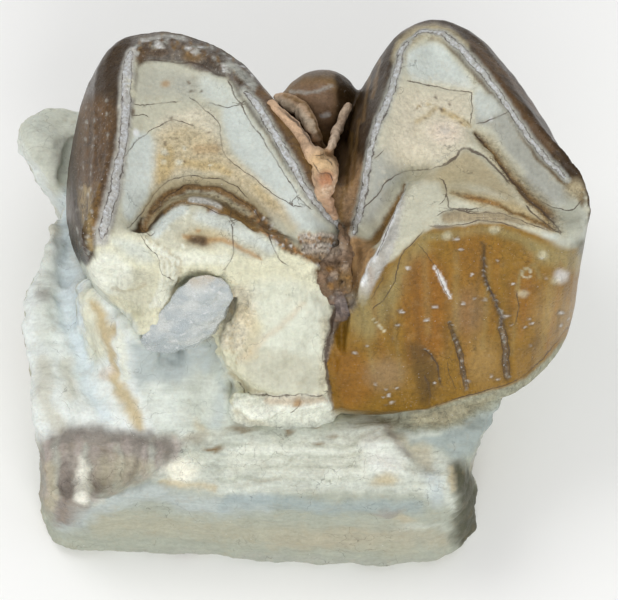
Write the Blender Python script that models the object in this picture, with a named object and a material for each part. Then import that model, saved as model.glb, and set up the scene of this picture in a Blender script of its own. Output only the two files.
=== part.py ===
"""A piece of fossil oreodont jaw: one worn, two-lobed lower molar in a short length of jaw bone.

The tongue side faces -Y, the cheek side +Y, and Z points up from the flat broken underside.
Every length is in millimetres until a mesh is made, where MM turns it into metres and the middle of the
footprint becomes the origin.
"""

from math import exp, hypot, radians

import bmesh
import bpy
from mathutils import Euler, Vector, noise

MM = 0.001
GAP = 0.3  # clearance between two pieces that sit in one another
FOOTPRINT_MIDDLE = (-0.406, 0.042)
WELD = 1e-6  # points this close, in metres, are one
CREASE_ANGLE = 35

# Heights above the underside
LEDGE = 4.8  # top of the bone on the tongue side
NECK = 5.4  # lower edge of the enamel
RIM = 12.2  # height at which the crown's worn outline is given
ROOT_END = 1.3
CROWN_BLANK_TOP = 14.0  # the crown is lofted this high, and its worn surface is carved afterwards
BONE_BLANK_TOP = 8.5
CUTTER_MARGIN = 1.0  # how far a cutter stands above the blank that it cuts

# Crown outline, anticlockwise from the cross valley on the tongue side. Each row gives a place on the worn
# rim, the place below it at the neck, and how the wall runs between: under 1 it bulges, over 1 it is hollow.
TONGUE_WALL = [
    (1.55, -2.15, 0.75, -4.05, 0.95),
    (2.4, -2.05, 2.2, -4.2, 0.9),
    (3.6, -1.65, 3.8, -4.15, 0.9),
    (4.9, -1.4, 5.2, -3.95, 0.9),
    (6.2, -1.55, 6.3, -3.6, 0.85),
    (7.3, -1.85, 7.25, -2.75, 0.8),
    (8.05, -1.75, 7.9, -1.7, 0.8),
]
RIGHT_LOBE = [
    (8.4, -1.05, 8.2, -0.5, 0.7),
    (8.2, -0.2, 8.2, 0.7, 0.7),
    (7.8, 0.55, 8.0, 1.8, 0.6),
    (7.3, 1.25, 7.8, 2.8, 0.55),
    (6.8, 2.1, 7.6, 3.7, 0.55),
    (6.15, 3.15, 7.25, 4.7, 0.55),
    (5.55, 4.1, 6.7, 5.6, 0.55),
    (4.95, 4.95, 6.0, 6.3, 0.55),
    (4.35, 5.5, 5.0, 6.8, 0.55),
    (3.75, 5.65, 3.9, 7.0, 0.55),
    (3.2, 5.4, 2.9, 6.95, 0.55),
    (2.85, 4.85, 2.0, 6.8, 0.55),
    (2.55, 4.1, 1.4, 6.4, 0.6),
    (2.25, 3.1, 1.05, 5.9, 0.65),
    (1.95, 2.1, 0.9, 5.4, 0.7),
    (1.75, 1.1, 0.8, 4.9, 0.75),
    (1.6, 0.2, 0.65, 4.5, 0.8),
]
NOTCH = [
    (1.4, -0.45, 0.5, 4.2, 0.8),
    (1.15, -0.75, 0.3, 4.1, 0.8),
    (0.85, -0.45, 0.1, 4.2, 0.8),
]
LEFT_LOBE = [
    (0.45, 0.2, -0.1, 4.5, 0.8),
    (0.0, 0.95, -0.35, 4.9, 0.8),
    (-0.55, 1.8, -0.6, 5.3, 0.8),
    (-1.0, 2.55, -0.95, 5.7, 0.8),
    (-1.5, 3.4, -1.5, 6.05, 0.8),
    (-2.1, 4.2, -2.2, 6.3, 0.85),
    (-2.9, 4.8, -3.1, 6.45, 0.9),
    (-3.8, 5.2, -4.1, 6.6, 0.85),
    (-4.7, 5.3, -5.1, 6.5, 0.75),
    (-5.4, 5.1, -6.2, 6.3, 0.6),
    (-5.75, 4.5, -6.9, 5.8, 0.5),
    (-5.85, 3.7, -7.45, 5.1, 0.45),
    (-5.95, 2.6, -7.6, 4.0, 0.5),
    (-6.0, 1.4, -7.6, 2.9, 0.55),
    (-6.15, 0.2, -7.45, 1.9, 0.6),
    (-6.4, -0.8, -7.15, 1.0, 0.7),
    (-6.65, -1.6, -6.8, 0.3, 0.9),
]
BROKEN_SIDE = [
    (-6.75, -2.1, -6.5, -0.3, 1.2),
    (-6.2, -2.35, -6.1, -0.9, 1.6),
    (-5.4, -2.25, -5.6, -1.4, 2.0),
    (-4.5, -2.1, -4.6, -1.7, 2.2),
    (-3.5, -2.1, -3.4, -2.2, 2.2),
    (-2.6, -2.15, -2.6, -3.0, 2.2),
    (-1.6, -2.2, -1.7, -3.6, 2.2),
    (-0.5, -2.15, -0.6, -3.7, 2.2),
    (0.4, -2.05, 0.3, -3.6, 2.0),
    (1.0, -1.95, 0.5, -3.75, 1.5),
]
CROWN_OUTLINE = TONGUE_WALL + RIGHT_LOBE + NOTCH + LEFT_LOBE + BROKEN_SIDE
CROWN_LEVELS = (RIM, 11.5, 10.4, 8.9, 7.2, NECK)
OUTLINE_STEPS = 2  # facets along the outline between two given points

# The root below the neck: height, scale about the tooth's middle, shift along X and Y
ROOT_LEVELS = [(4.9, 0.9, -0.1, -0.35), (3.2, 0.78, -0.5, -0.4), (ROOT_END, 0.62, -0.9, -0.4)]
TOOTH_MIDDLE = Vector((0.4, 1.2))

# Lines on the worn surface, seen from above
LEFT_RING = [
    (-6.4, -1.7), (-6.05, -0.5), (-5.75, 0.7), (-5.6, 2.2), (-5.5, 3.6), (-5.2, 4.6), (-4.4, 4.9),
    (-3.3, 4.6), (-2.4, 3.9), (-1.7, 2.8), (-1.0, 1.6), (-0.3, 0.6), (0.4, -0.2),
]
RIGHT_RING = [
    (1.75, -0.5), (1.95, 0.7), (2.2, 1.9), (2.55, 3.1), (2.95, 4.3), (3.35, 5.0), (3.8, 5.3),
    (4.4, 5.0), (5.1, 4.1), (5.9, 3.0), (6.8, 1.7), (7.6, 0.7), (8.2, 0.0),
]
LEFT_HOLLOW = [
    (-5.0, -1.3), (-4.5, -0.3), (-3.5, 0.1), (-2.5, -0.2), (-1.6, -0.9), (-0.7, -1.4), (0.2, -1.7),
    (1.1, -1.9),
]
RIGHT_HOLLOW_NEAR = [(1.2, -1.8), (1.7, -1.4), (2.2, -0.8), (2.7, -0.1), (3.2, 0.6)]
RIGHT_HOLLOW_FAR = [(5.2, 1.9), (5.8, 1.3), (6.3, 0.6), (6.9, -0.2), (7.7, -1.0)]
CUSP_RIDGE = [(3.3, 0.1), (2.7, -0.8), (2.1, -1.5), (1.7, -2.0)]

# Relief of the worn surface
CHEEK_FALL = 0.05  # the worn surface drops this much for each millimetre towards the cheek
RING_HEIGHT, RING_WIDTH = 0.28, 0.3
HOLLOW_DEPTH, HOLLOW_WIDTH = 0.75, 0.38
FAR_HOLLOW_DEPTH = 0.38
BASIN_DEPTH, BASIN_EDGE = 0.22, (0.3, 0.9)  # the dentine, and its distances from the enamel ring
VALLEY = (1.2, -1.15, 0.95, 1.25, 2.5)  # middle, reach along X and Y, depth
VALLEY_MOUTH = (1.1, -2.7, 0.6, 0.8, 2.2)
CUSP_TIP = (4.7, -0.9, 1.6, 0.7, 0.35)
STAIN_PIT = (-3.45, -1.7, 0.35, 0.3, 0.45)
BREAK_EDGE_Y, BREAK_SLOPE = -1.9, 2.4
CROWN_SPACING = 0.3
CROWN_PATCH = (-8.2, -5.4, 9.7, 8.2)

# Lumps: middle, half sizes, turn in degrees
PILLAR = ((0.2, 4.75, 7.35), (1.45, 1.25, 2.45), (-8, 10, 0))
BOSS = ((-1.0, -2.6, 7.2), (1.9, 1.1, 2.1), (-22, 0, 4))
BROKEN_BLOCK = ((-0.85, -3.78, 5.6), (1.6, 0.8, 0.45), (0, 0, 3))
SILICA = ((-3.75, -2.4, 8.45), (1.85, 0.62, 0.95), (0, -42, 0))
NOTCH_BED = [  # x, y, z, radius along the sediment in the notch
    (-0.05, 3.35, 10.1, 0.16), (0.3, 3.0, 10.1, 0.26), (0.5, 2.5, 10.3, 0.3), (0.66, 1.9, 10.75, 0.3),
    (0.78, 1.35, 11.25, 0.18),
]
VALLEY_BED = [
    (1.15, -0.8, 10.6, 0.2), (1.15, -1.4, 10.2, 0.34), (1.15, -1.9, 9.8, 0.3), (1.05, -2.5, 9.5, 0.24),
]
LUMP_SIDES, LUMP_BANDS = 18, 10
ROUGHNESS = 0.44  # how far a broken lump strays from its even shape
ROUGH_SCALE = 1.1  # bumps per millimetre on a broken lump
TOOTH_LUMPS = [("pillar", PILLAR, 0.0), ("boss", BOSS, ROUGHNESS), ("block", BROKEN_BLOCK, ROUGHNESS)]

# Bone, anticlockwise from the front left corner. Each row gives a place at the ledge's height and the place
# below it on the underside, because the broken ends draw in towards the bottom.
BONE_OUTLINE = [
    (-8.1, -5.9, -8.2, -5.7), (-7.4, -6.4, -7.5, -6.35), (-5.5, -6.5, -5.5, -6.5), (-3.0, -6.55, -3.0, -6.6),
    (-1.4, -6.75, -1.4, -6.8), (0.6, -6.9, 0.6, -6.9), (2.4, -6.9, 2.4, -6.9), (3.8, -6.8, 3.7, -6.8),
    (4.5, -6.55, 4.55, -6.45), (4.75, -6.1, 5.15, -5.7), (4.75, -5.55, 5.25, -4.9), (5.2, -4.95, 4.95, -4.0),
    (5.5, -4.2, 4.85, -3.2), (5.9, -3.1, 4.95, -2.4), (6.2, -1.0, 5.5, -1.0), (6.3, 1.2, 5.8, 1.2),
    (6.2, 3.4, 5.8, 3.4), (5.7, 5.4, 5.4, 5.2), (4.2, 6.6, 4.0, 6.3), (1.0, 6.9, 1.0, 6.6),
    (-2.0, 6.9, -2.0, 6.6), (-5.0, 6.9, -4.6, 6.5), (-7.4, 6.9, -6.2, 6.2), (-8.8, 6.6, -6.9, 5.7),
    (-9.2, 5.7, -7.3, 5.0), (-8.6, 4.5, -7.6, 4.2), (-7.6, 3.6, -7.8, 3.5), (-8.0, 2.8, -8.0, 2.6),
    (-8.15, 1.5, -8.1, 1.5), (-8.75, 0.3, -8.2, 0.3), (-8.85, -1.0, -8.25, -1.0), (-8.6, -2.4, -8.15, -2.4),
    (-8.5, -3.5, -8.25, -3.4), (-8.3, -4.4, -8.4, -4.4), (-7.95, -5.0, -8.45, -5.1),
]
BONE_EDGE = 0.4  # bevel along the underside
BONE_WAIST = 3.2  # height of the ring of points between the ledge and the underside
BONE_DRAW_IN = 0.7  # under 1, the ends draw in mostly near the ledge
BONE_MIDDLE = (-1.5, -0.2)
BONE_SPACING = 0.55
BONE_PATCH = (-10.2, -7.8, 7.2, 7.4)

# Relief of the bone: middle, reach along X and Y, rise
BONE_MOUNDS = [
    (-8.4, 5.2, 1.1, 1.3, 0.9),  # knob at the far left corner
    (-8.3, -0.6, 0.7, 1.5, 0.7),
    (-7.9, -3.6, 0.8, 1.0, 0.6),
    (-8.1, 1.9, 0.6, 0.8, 0.5),
    (4.3, -4.5, 1.2, 0.7, 0.5),  # margin beside the right root
    (2.5, -5.1, 0.8, 0.5, 0.35),
    (-4.0, -5.5, 0.7, 0.5, 0.45),
    (-6.9, -5.7, 0.25, 0.6, 0.7),  # upright sliver in the hollow
    (-6.6, -5.6, 1.5, 0.8, -1.9),  # shaded hollow at the left end of the ledge
    (-8.0, -6.2, 0.8, 0.8, -0.9),
    (3.6, -5.0, 0.35, 0.4, -0.3),
]
CHEEK_PLATE_Y, CHEEK_PLATE_RISE = (3.2, 5.0), 0.25
UNEVENNESS, UNEVEN_STRETCH = 0.12, 0.6
FRONT_EDGE_Y, FRONT_EDGE_DROP = -6.3, 0.7


def clear_scene():
    for obj in list(bpy.data.objects):
        bpy.data.objects.remove(obj, do_unlink=True)


def new_collection(name, hidden=False):
    collection = bpy.data.collections.new(name)
    collection.hide_render = hidden
    bpy.context.scene.collection.children.link(collection)
    return collection


def make_material(name, colour, roughness):
    material = bpy.data.materials.new(name)
    material.use_nodes = True
    shader = material.node_tree.nodes["Principled BSDF"]
    shader.inputs["Base Color"].default_value = (*colour, 1.0)
    shader.inputs["Roughness"].default_value = roughness
    shader.inputs["Metallic"].default_value = 0.0
    return material


def object_from_bmesh(name, mesh_data, collection):
    """Moves a bmesh built in millimetres to the origin, scales it to metres and makes an object of it."""
    middle = Vector((*FOOTPRINT_MIDDLE, 0.0))
    bmesh.ops.translate(mesh_data, vec=-middle, verts=mesh_data.verts)
    bmesh.ops.scale(mesh_data, vec=(MM, MM, MM), verts=mesh_data.verts)
    bmesh.ops.recalc_face_normals(mesh_data, faces=mesh_data.faces)
    mesh = bpy.data.meshes.new(name)
    mesh_data.to_mesh(mesh)
    mesh_data.free()
    obj = bpy.data.objects.new(name, mesh)
    collection.objects.link(obj)
    return obj


def make_cutter(obj):
    obj.hide_render = True
    obj.display_type = "WIRE"
    return obj


def boolean(obj, other, operation):
    """Applies one Boolean, so that every step stays a plain closed mesh."""
    modifier = obj.modifiers.new(operation.title(), "BOOLEAN")
    modifier.operation = operation
    modifier.object = other
    graph = bpy.context.evaluated_depsgraph_get()
    mesh = bpy.data.meshes.new_from_object(obj.evaluated_get(graph))
    mesh.name = obj.name
    mesh_data = bmesh.new()
    mesh_data.from_mesh(mesh)
    bmesh.ops.triangulate(mesh_data, faces=mesh_data.faces)
    mesh_data.to_mesh(mesh)
    mesh_data.free()
    obj.modifiers.clear()
    obj.data = mesh
    return obj


def smooth_ring(points, steps):
    """A closed curve through the given points, with the given number of facets between two of them."""
    ring = []
    count = len(points)
    for i in range(count):
        before, start, end, after = (Vector(points[(i + k) % count]) for k in (-1, 0, 1, 2))
        for step in range(steps):
            t = step / steps
            ring.append(
                0.5
                * (
                    2 * start
                    + (end - before) * t
                    + (2 * before - 5 * start + 4 * end - after) * t**2
                    + (3 * start - before - 3 * end + after) * t**3
                )
            )
    return ring


def loft(name, rings, collection):
    """A closed solid through rings of (x, y, z) points, each with as many points as the next."""
    mesh_data = bmesh.new()
    rows = [[mesh_data.verts.new(point) for point in ring] for ring in rings]
    for upper, lower in zip(rows, rows[1:]):
        for i in range(len(upper)):
            j = (i + 1) % len(upper)
            mesh_data.faces.new((upper[i], upper[j], lower[j], lower[i]))
    mesh_data.faces.new(rows[0])
    mesh_data.faces.new(rows[-1])
    return object_from_bmesh(name, mesh_data, collection)


def relief_cutter(name, height, patch, spacing, top, collection):
    """A block that fills all the room above a surface given by height(x, y)."""
    x_low, y_low, x_high, y_high = patch
    columns = round((x_high - x_low) / spacing)
    rows = round((y_high - y_low) / spacing)
    mesh_data = bmesh.new()
    bmesh.ops.create_grid(mesh_data, x_segments=columns, y_segments=rows, size=0.5)
    for vert in mesh_data.verts:
        x = x_low + (vert.co.x + 0.5) * (x_high - x_low)
        y = y_low + (vert.co.y + 0.5) * (y_high - y_low)
        vert.co = (x, y, height(x, y))
    bmesh.ops.triangulate(mesh_data, faces=mesh_data.faces)
    edge = [e for e in mesh_data.edges if e.is_boundary]
    raised = bmesh.ops.extrude_edge_only(mesh_data, edges=edge)["geom"]
    lid = [part for part in raised if isinstance(part, bmesh.types.BMEdge) and part.is_boundary]
    for vert in {v for e in lid for v in e.verts}:
        vert.co.z = top
    bmesh.ops.contextual_create(mesh_data, geom=lid)
    return make_cutter(object_from_bmesh(name, mesh_data, collection))


def lump(name, place, collection, grow=0.0, roughness=0.0):
    """A rounded or broken lump, from a sphere that is stretched, turned and roughened."""
    middle, half_sizes, turn = place
    mesh_data = bmesh.new()
    bmesh.ops.create_uvsphere(mesh_data, u_segments=LUMP_SIDES, v_segments=LUMP_BANDS, radius=1.0)
    rotation = Euler([radians(angle) for angle in turn]).to_matrix()
    for vert in mesh_data.verts:
        direction = vert.co.normalized()
        stretched = Vector(d * (half + grow) for d, half in zip(direction, half_sizes))
        stray = roughness * noise.noise(stretched * ROUGH_SCALE + Vector(middle))
        vert.co = Vector(middle) + rotation @ (stretched + direction * stray)
    return object_from_bmesh(name, mesh_data, collection)


def line_distance(x, y, line):
    """The shortest way from a point to a line of straight runs."""
    nearest = 1e9
    for (ax, ay), (bx, by) in zip(line, line[1:]):
        run_x, run_y = bx - ax, by - ay
        t = ((x - ax) * run_x + (y - ay) * run_y) / (run_x**2 + run_y**2)
        t = min(1.0, max(0.0, t))
        nearest = min(nearest, hypot(x - ax - t * run_x, y - ay - t * run_y))
    return nearest


def ridge(distance, width):
    """1 on a line, falling smoothly to 0 away from it."""
    return exp(-((distance / width) ** 2))


def mound(x, y, place):
    middle_x, middle_y, reach_x, reach_y, rise = place
    return rise * exp(-(((x - middle_x) / reach_x) ** 2) - ((y - middle_y) / reach_y) ** 2)


def ease(low, high, value):
    t = min(1.0, max(0.0, (value - low) / (high - low)))
    return t * t * (3 - 2 * t)


def worn_surface(x, y):
    """Height of the tooth's worn surface."""
    z = RIM - CHEEK_FALL * y
    ring = min(line_distance(x, y, LEFT_RING), line_distance(x, y, RIGHT_RING))
    z += RING_HEIGHT * ridge(ring, RING_WIDTH) - BASIN_DEPTH * ease(*BASIN_EDGE, ring)
    z -= HOLLOW_DEPTH * ridge(line_distance(x, y, LEFT_HOLLOW), HOLLOW_WIDTH)
    z -= HOLLOW_DEPTH * ridge(line_distance(x, y, RIGHT_HOLLOW_NEAR), HOLLOW_WIDTH)
    z -= FAR_HOLLOW_DEPTH * ridge(line_distance(x, y, RIGHT_HOLLOW_FAR), HOLLOW_WIDTH)
    z += RING_HEIGHT * ridge(line_distance(x, y, CUSP_RIDGE), RING_WIDTH)
    z -= mound(x, y, VALLEY) + mound(x, y, VALLEY_MOUTH)
    z += mound(x, y, CUSP_TIP)
    z -= mound(x, y, STAIN_PIT)
    if x < VALLEY[0]:
        z -= BREAK_SLOPE * max(0.0, BREAK_EDGE_Y - y)
    return z


def bone_surface(x, y):
    """Height of the bone around the tooth."""
    z = LEDGE + CHEEK_PLATE_RISE * ease(*CHEEK_PLATE_Y, y)
    for place in BONE_MOUNDS:
        z += mound(x, y, place)
    z -= FRONT_EDGE_DROP * max(0.0, FRONT_EDGE_Y - y)
    z += UNEVENNESS * noise.noise(Vector((x, y * UNEVEN_STRETCH, 0.0)))
    return z


def crown_ring(height):
    """The crown's outline at one height between the rim and the neck."""
    t = (RIM - height) / (RIM - NECK)
    points = []
    for rim_x, rim_y, neck_x, neck_y, sweep in CROWN_OUTLINE:
        share = max(0.0, t) ** sweep
        points.append((rim_x + (neck_x - rim_x) * share, rim_y + (neck_y - rim_y) * share))
    return [(p.x, p.y, height) for p in smooth_ring(points, OUTLINE_STEPS)]


def root_rings(grow=0.0, levels=None):
    rings = []
    for height, scale, shift_x, shift_y in levels or ROOT_LEVELS:
        ring = []
        for x, y, _ in crown_ring(NECK):
            out = Vector((x, y)) - TOOTH_MIDDLE
            out = out * scale + out.normalized() * grow
            ring.append((TOOTH_MIDDLE.x + out.x + shift_x, TOOTH_MIDDLE.y + out.y + shift_y, height))
        rings.append(ring)
    return rings


def make_molar(parts, cutters):
    top = [(x, y, CROWN_BLANK_TOP) for x, y, _ in crown_ring(RIM)]
    rings = [top] + [crown_ring(height) for height in CROWN_LEVELS] + root_rings()
    molar = loft("molar", rings, parts)
    for name, place, rough in TOOTH_LUMPS:
        boolean(molar, make_cutter(lump(name, place, cutters, roughness=rough)), "UNION")
    pocket = make_cutter(lump("silica_pocket", SILICA, cutters, grow=GAP))
    boolean(molar, pocket, "DIFFERENCE")
    wear = relief_cutter(
        "wear_cutter", worn_surface, CROWN_PATCH, CROWN_SPACING, CROWN_BLANK_TOP + CUTTER_MARGIN, cutters
    )
    return boolean(molar, wear, "DIFFERENCE")


def make_bone(parts, cutters):
    top = smooth_ring([row[:2] for row in BONE_OUTLINE], OUTLINE_STEPS)
    base = smooth_ring([row[2:] for row in BONE_OUTLINE], OUTLINE_STEPS)
    rings = [[(p.x, p.y, BONE_BLANK_TOP) for p in top]]
    for height in (LEDGE, BONE_WAIST, BONE_EDGE):
        share = ((LEDGE - height) / LEDGE) ** BONE_DRAW_IN
        rings.append([(*p.lerp(q, share), height) for p, q in zip(top, base)])
    middle = Vector(BONE_MIDDLE)
    rings.append([(*(q - (q - middle).normalized() * BONE_EDGE), 0.0) for q in base])
    bone = loft("jaw_bone", rings, parts)
    weathering = relief_cutter(
        "bone_top_cutter", bone_surface, BONE_PATCH, BONE_SPACING, BONE_BLANK_TOP + CUTTER_MARGIN, cutters
    )
    boolean(bone, weathering, "DIFFERENCE")
    under_crown = [(BONE_BLANK_TOP, 1.0, 0.0, 0.0), (NECK - GAP, 1.0, 0.0, 0.0)]
    grown = root_rings(GAP, under_crown + ROOT_LEVELS)
    grown[-1] = [(x, y, z - GAP) for x, y, z in grown[-1]]
    socket = make_cutter(loft("socket_cutter", grown, cutters))
    boolean(bone, socket, "DIFFERENCE")
    for name, place, rough in TOOTH_LUMPS:
        room = lump(name + "_room", place, cutters, grow=GAP, roughness=rough)
        boolean(bone, make_cutter(room), "DIFFERENCE")
    return bone


def make_sediment(name, bed, parts, cutters):
    """Hardened sediment, as a tube of changing width along its bed."""
    curve = bpy.data.curves.new(name, "CURVE")
    curve.dimensions = "3D"
    curve.bevel_depth = MM
    curve.bevel_resolution = 2
    curve.use_fill_caps = True
    spline = curve.splines.new("POLY")
    spline.points.add(len(bed) - 1)
    for point, (x, y, z, radius) in zip(spline.points, bed):
        point.co = (x * MM, y * MM, z * MM, 1.0)
        point.radius = radius
    guide = bpy.data.objects.new(name + "_bed", curve)
    cutters.objects.link(guide)
    graph = bpy.context.evaluated_depsgraph_get()
    mesh = bpy.data.meshes.new_from_object(guide.evaluated_get(graph))
    mesh_data = bmesh.new()
    mesh_data.from_mesh(mesh)
    bmesh.ops.remove_doubles(mesh_data, verts=mesh_data.verts, dist=WELD)
    bmesh.ops.scale(mesh_data, vec=(1 / MM, 1 / MM, 1 / MM), verts=mesh_data.verts)
    bpy.data.objects.remove(guide, do_unlink=True)
    return object_from_bmesh(name, mesh_data, parts)


def shade(obj, material):
    obj.data.materials.clear()
    obj.data.materials.append(material)
    obj.data.shade_smooth()
    obj.data.set_sharp_from_angle(angle=radians(CREASE_ANGLE))


def main():
    clear_scene()
    parts = new_collection("oreodont_jaw_section")
    cutters = new_collection("forms_and_cutters", hidden=True)
    shade(make_molar(parts, cutters), make_material("tooth", (0.42, 0.33, 0.18), 0.3))
    shade(make_bone(parts, cutters), make_material("bone", (0.6, 0.6, 0.52), 0.55))
    sediment = make_material("sediment", (0.5, 0.24, 0.11), 0.8)
    shade(make_sediment("notch_matrix", NOTCH_BED, parts, cutters), sediment)
    shade(make_sediment("valley_matrix", VALLEY_BED, parts, cutters), sediment)
    silica = lump("silica_fill", SILICA, parts, roughness=ROUGHNESS)
    shade(silica, make_material("silica", (0.5, 0.55, 0.6), 0.2))


main()
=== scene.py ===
"""Looks of a piece of fossil oreodont jaw: a worn, two-lobed molar in a short length of jaw bone.

The solids of the tooth and the bone are copied, joined with a few lumps, skinned finely and then worked over
with relief and paint. The sediment and the silica are made of lumps of their own, in place of their solids.
Lengths are in millimetres until a mesh is written back. Marks are placed as they are seen from above on the
tongue side, in the photograph's own plane, and are carried onto the surface along that line of sight.
"""

from math import cos, radians, sin

import bmesh
import bpy
import numpy as np
from mathutils import Matrix, Vector, noise
from mathutils.bvhtree import BVHTree


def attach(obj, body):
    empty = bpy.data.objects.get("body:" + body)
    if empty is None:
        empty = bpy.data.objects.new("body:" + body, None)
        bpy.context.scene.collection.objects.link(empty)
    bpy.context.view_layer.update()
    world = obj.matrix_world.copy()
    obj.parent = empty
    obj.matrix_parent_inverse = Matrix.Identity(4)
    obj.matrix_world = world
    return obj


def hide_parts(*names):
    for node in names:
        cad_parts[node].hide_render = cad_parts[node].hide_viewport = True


bl_info = {
    "name": "Oreodont Jaw Section",
    "version": (1, 0, 0),
    "blender": (4, 5, 0),
    "location": "3D View > Sidebar > Fossil",
    "description": "Dresses a fossil jaw section with a worn molar, bone, sediment and silica",
    "category": "Object",
}

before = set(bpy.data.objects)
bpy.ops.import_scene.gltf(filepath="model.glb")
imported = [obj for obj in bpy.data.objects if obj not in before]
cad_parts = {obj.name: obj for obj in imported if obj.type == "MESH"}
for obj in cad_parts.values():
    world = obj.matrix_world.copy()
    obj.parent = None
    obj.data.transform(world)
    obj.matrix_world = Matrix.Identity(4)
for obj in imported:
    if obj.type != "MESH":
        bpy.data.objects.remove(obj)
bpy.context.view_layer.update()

MM = 0.001
TOOTH_SHIFT = np.array((0.406, -0.042, 0.0))  # from the tooth's own plan coordinates to the frame

# Line of sight of the photograph
SIGHT_ELEVATION = radians(60)
SIGHT = np.array((0.0, -cos(SIGHT_ELEVATION), sin(SIGHT_ELEVATION)))
SIGHT_UP = np.array((0.0, sin(SIGHT_ELEVATION), cos(SIGHT_ELEVATION)))
SIGHT_DISTANCE = 150.0
SIGHT_TARGET = TOOTH_SHIFT + np.array((0.0, 0.0, 9.0)) - 2.05 * SIGHT_UP
EYE = SIGHT_TARGET + SIGHT_DISTANCE * SIGHT
PHOTO_WIDTH = 618
PIXELS_PER_MM = 33.0
GRID_PIXELS = 32.0  # marks are given on a grid of this many photo pixels, from the middle of the photo
SENSOR_WIDTH = 36.0

NECK = 5.4  # height at which the crown of the tooth ends
RIM = 12.2  # about the height of the worn rim of the tooth
FAR = 9.0  # stands for no line nearby
SEEN_FROM = -0.05  # how far a surface faces the camera where marks begin to show
SEEN_FADE = 0.12
SPOT_SOFT = 0.6
LINE_SEEN = 0.3  # cracks and rings are drawn where at least this share of a mark would show
CRACK_REACH = 0.6
RING_REACH = 0.7

MOST_TOOTH_FACES = 190000
FEWEST_SHELL_FACES = 500
CHEEK_SIDE = 2.5  # the plain cheek side of the tooth lies beyond this
STRAND_SPACING = 0.06
WELD = 1e-7


def soft_step(low, high, value):
    t = np.clip((value - low) / (high - low), 0.0, 1.0)
    return t * t * (3 - 2 * t)


def photo_place(points):
    """Where points are seen in the photograph: across and up from its middle, on the grid of marks."""
    offset = points - SIGHT_TARGET
    scale = SIGHT_DISTANCE / (SIGHT_DISTANCE - offset @ SIGHT) * PIXELS_PER_MM / GRID_PIXELS
    return np.stack((offset[:, 0] * scale, offset @ SIGHT_UP * scale), axis=1)


def point_seen_at(across, up, height):
    """The point at the given height that is seen at a place on the grid of marks."""
    across, up = (value * GRID_PIXELS / PIXELS_PER_MM / SIGHT_DISTANCE for value in (across, up))
    right = np.array((1.0, 0.0, 0.0))
    ray = -SIGHT + across * right + up * SIGHT_UP
    return EYE + ray * (height - EYE[2]) / ray[2]


def solid_tree():
    """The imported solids, in millimetres, ready for finding what a line of sight meets."""
    vertices, faces = [], []
    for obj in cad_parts.values():
        start = len(vertices)
        vertices += [v.co / MM for v in obj.data.vertices]
        faces += [[start + i for i in face.vertices] for face in obj.data.polygons]
    return BVHTree.FromPolygons(vertices, faces)


SOLIDS = solid_tree()


def depths_at(places):
    """How near the solids come to the camera at each place on the grid of marks, along SIGHT.

    A place beside the solids takes the depth of its neighbours in the list.
    """
    rays = [Vector(point_seen_at(*place, 0.0) - EYE) for place in places]
    hits = [SOLIDS.ray_cast(Vector(EYE), ray)[0] for ray in rays]
    met = [i for i, hit in enumerate(hits) if hit is not None]
    if not met:
        raise RuntimeError("no solid is seen at any of the places")
    return np.interp(range(len(hits)), met, [np.array(hits[i]) @ SIGHT for i in met])


def point_at(place, depth):
    """The point at the given depth along SIGHT that is seen at a place on the grid of marks."""
    ray = point_seen_at(*place, 0.0) - EYE
    return EYE + ray * (depth - EYE @ SIGHT) / (ray @ SIGHT)


def curve(points, closed=False, steps=5):
    """A smooth line through the given points."""
    points = np.array(points, float)
    count = len(points)
    if count < 3:
        return points
    line = []
    last = count if closed else count - 1
    for i in range(last):
        if closed:
            before, start, end, after = (points[(i + k) % count] for k in (-1, 0, 1, 2))
        else:
            before, start, end, after = (points[min(max(i + k, 0), count - 1)] for k in (-1, 0, 1, 2))
        for step in range(steps):
            t = step / steps
            line.append(
                0.5
                * (
                    2 * start
                    + (end - before) * t
                    + (2 * before - 5 * start + 4 * end - after) * t**2
                    + (3 * start - before - 3 * end + after) * t**3
                )
            )
    if not closed:
        line.append(points[-1])
    return np.array(line)


def distance_to_line(places, line):
    """Distance to a line, positive on its left side, for every place. Also how far along it is, 0 to 1."""
    nearest = np.full(len(places), FAR)
    side = np.full(len(places), FAR)
    along = np.zeros(len(places))
    runs = line[1:] - line[:-1]
    for i, (start, run) in enumerate(zip(line[:-1], runs)):
        length = run @ run
        if length == 0:
            continue
        offset = places - start
        t = np.clip(offset @ run / length, 0.0, 1.0)
        gap = offset - t[:, None] * run
        distance = np.hypot(gap[:, 0], gap[:, 1])
        closer = distance < nearest
        turn = run[0] * offset[:, 1] - run[1] * offset[:, 0]
        nearest[closer] = distance[closer]
        side[closer] = np.where(turn < 0, -distance, distance)[closer]
        along[closer] = ((i + t) / len(runs))[closer]
    return nearest, side, along


def inside(places, outline):
    """Whether each place is within a closed outline."""
    result = np.zeros(len(places), bool)
    x, y = places.T
    for (ax, ay), (bx, by) in zip(outline, np.roll(outline, -1, axis=0)):
        if ay == by:
            continue
        crosses = ((ay > y) != (by > y)) & (x < (bx - ax) * (y - ay) / (by - ay) + ax)
        result ^= crosses
    return result


def noise_at(points, scale, seed=0.0, detail=4):
    """Fractal noise between about -1 and 1 at each point."""
    shift = Vector((seed, 2 * seed, -seed))
    return np.array([noise.fractal(Vector(p) * scale + shift, 1.0, 2.0, detail) for p in points])


def cell_edges(points, scale, seed=0.0):
    """Distance to the nearest wall between the cells of a random cell pattern, as for chips and facets."""
    shift = Vector((seed, -seed, 2 * seed))
    edges = []
    for p in points:
        near = noise.voronoi(Vector(p) * scale + shift)[0]
        edges.append(near[1] - near[0])
    return np.array(edges)


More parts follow.
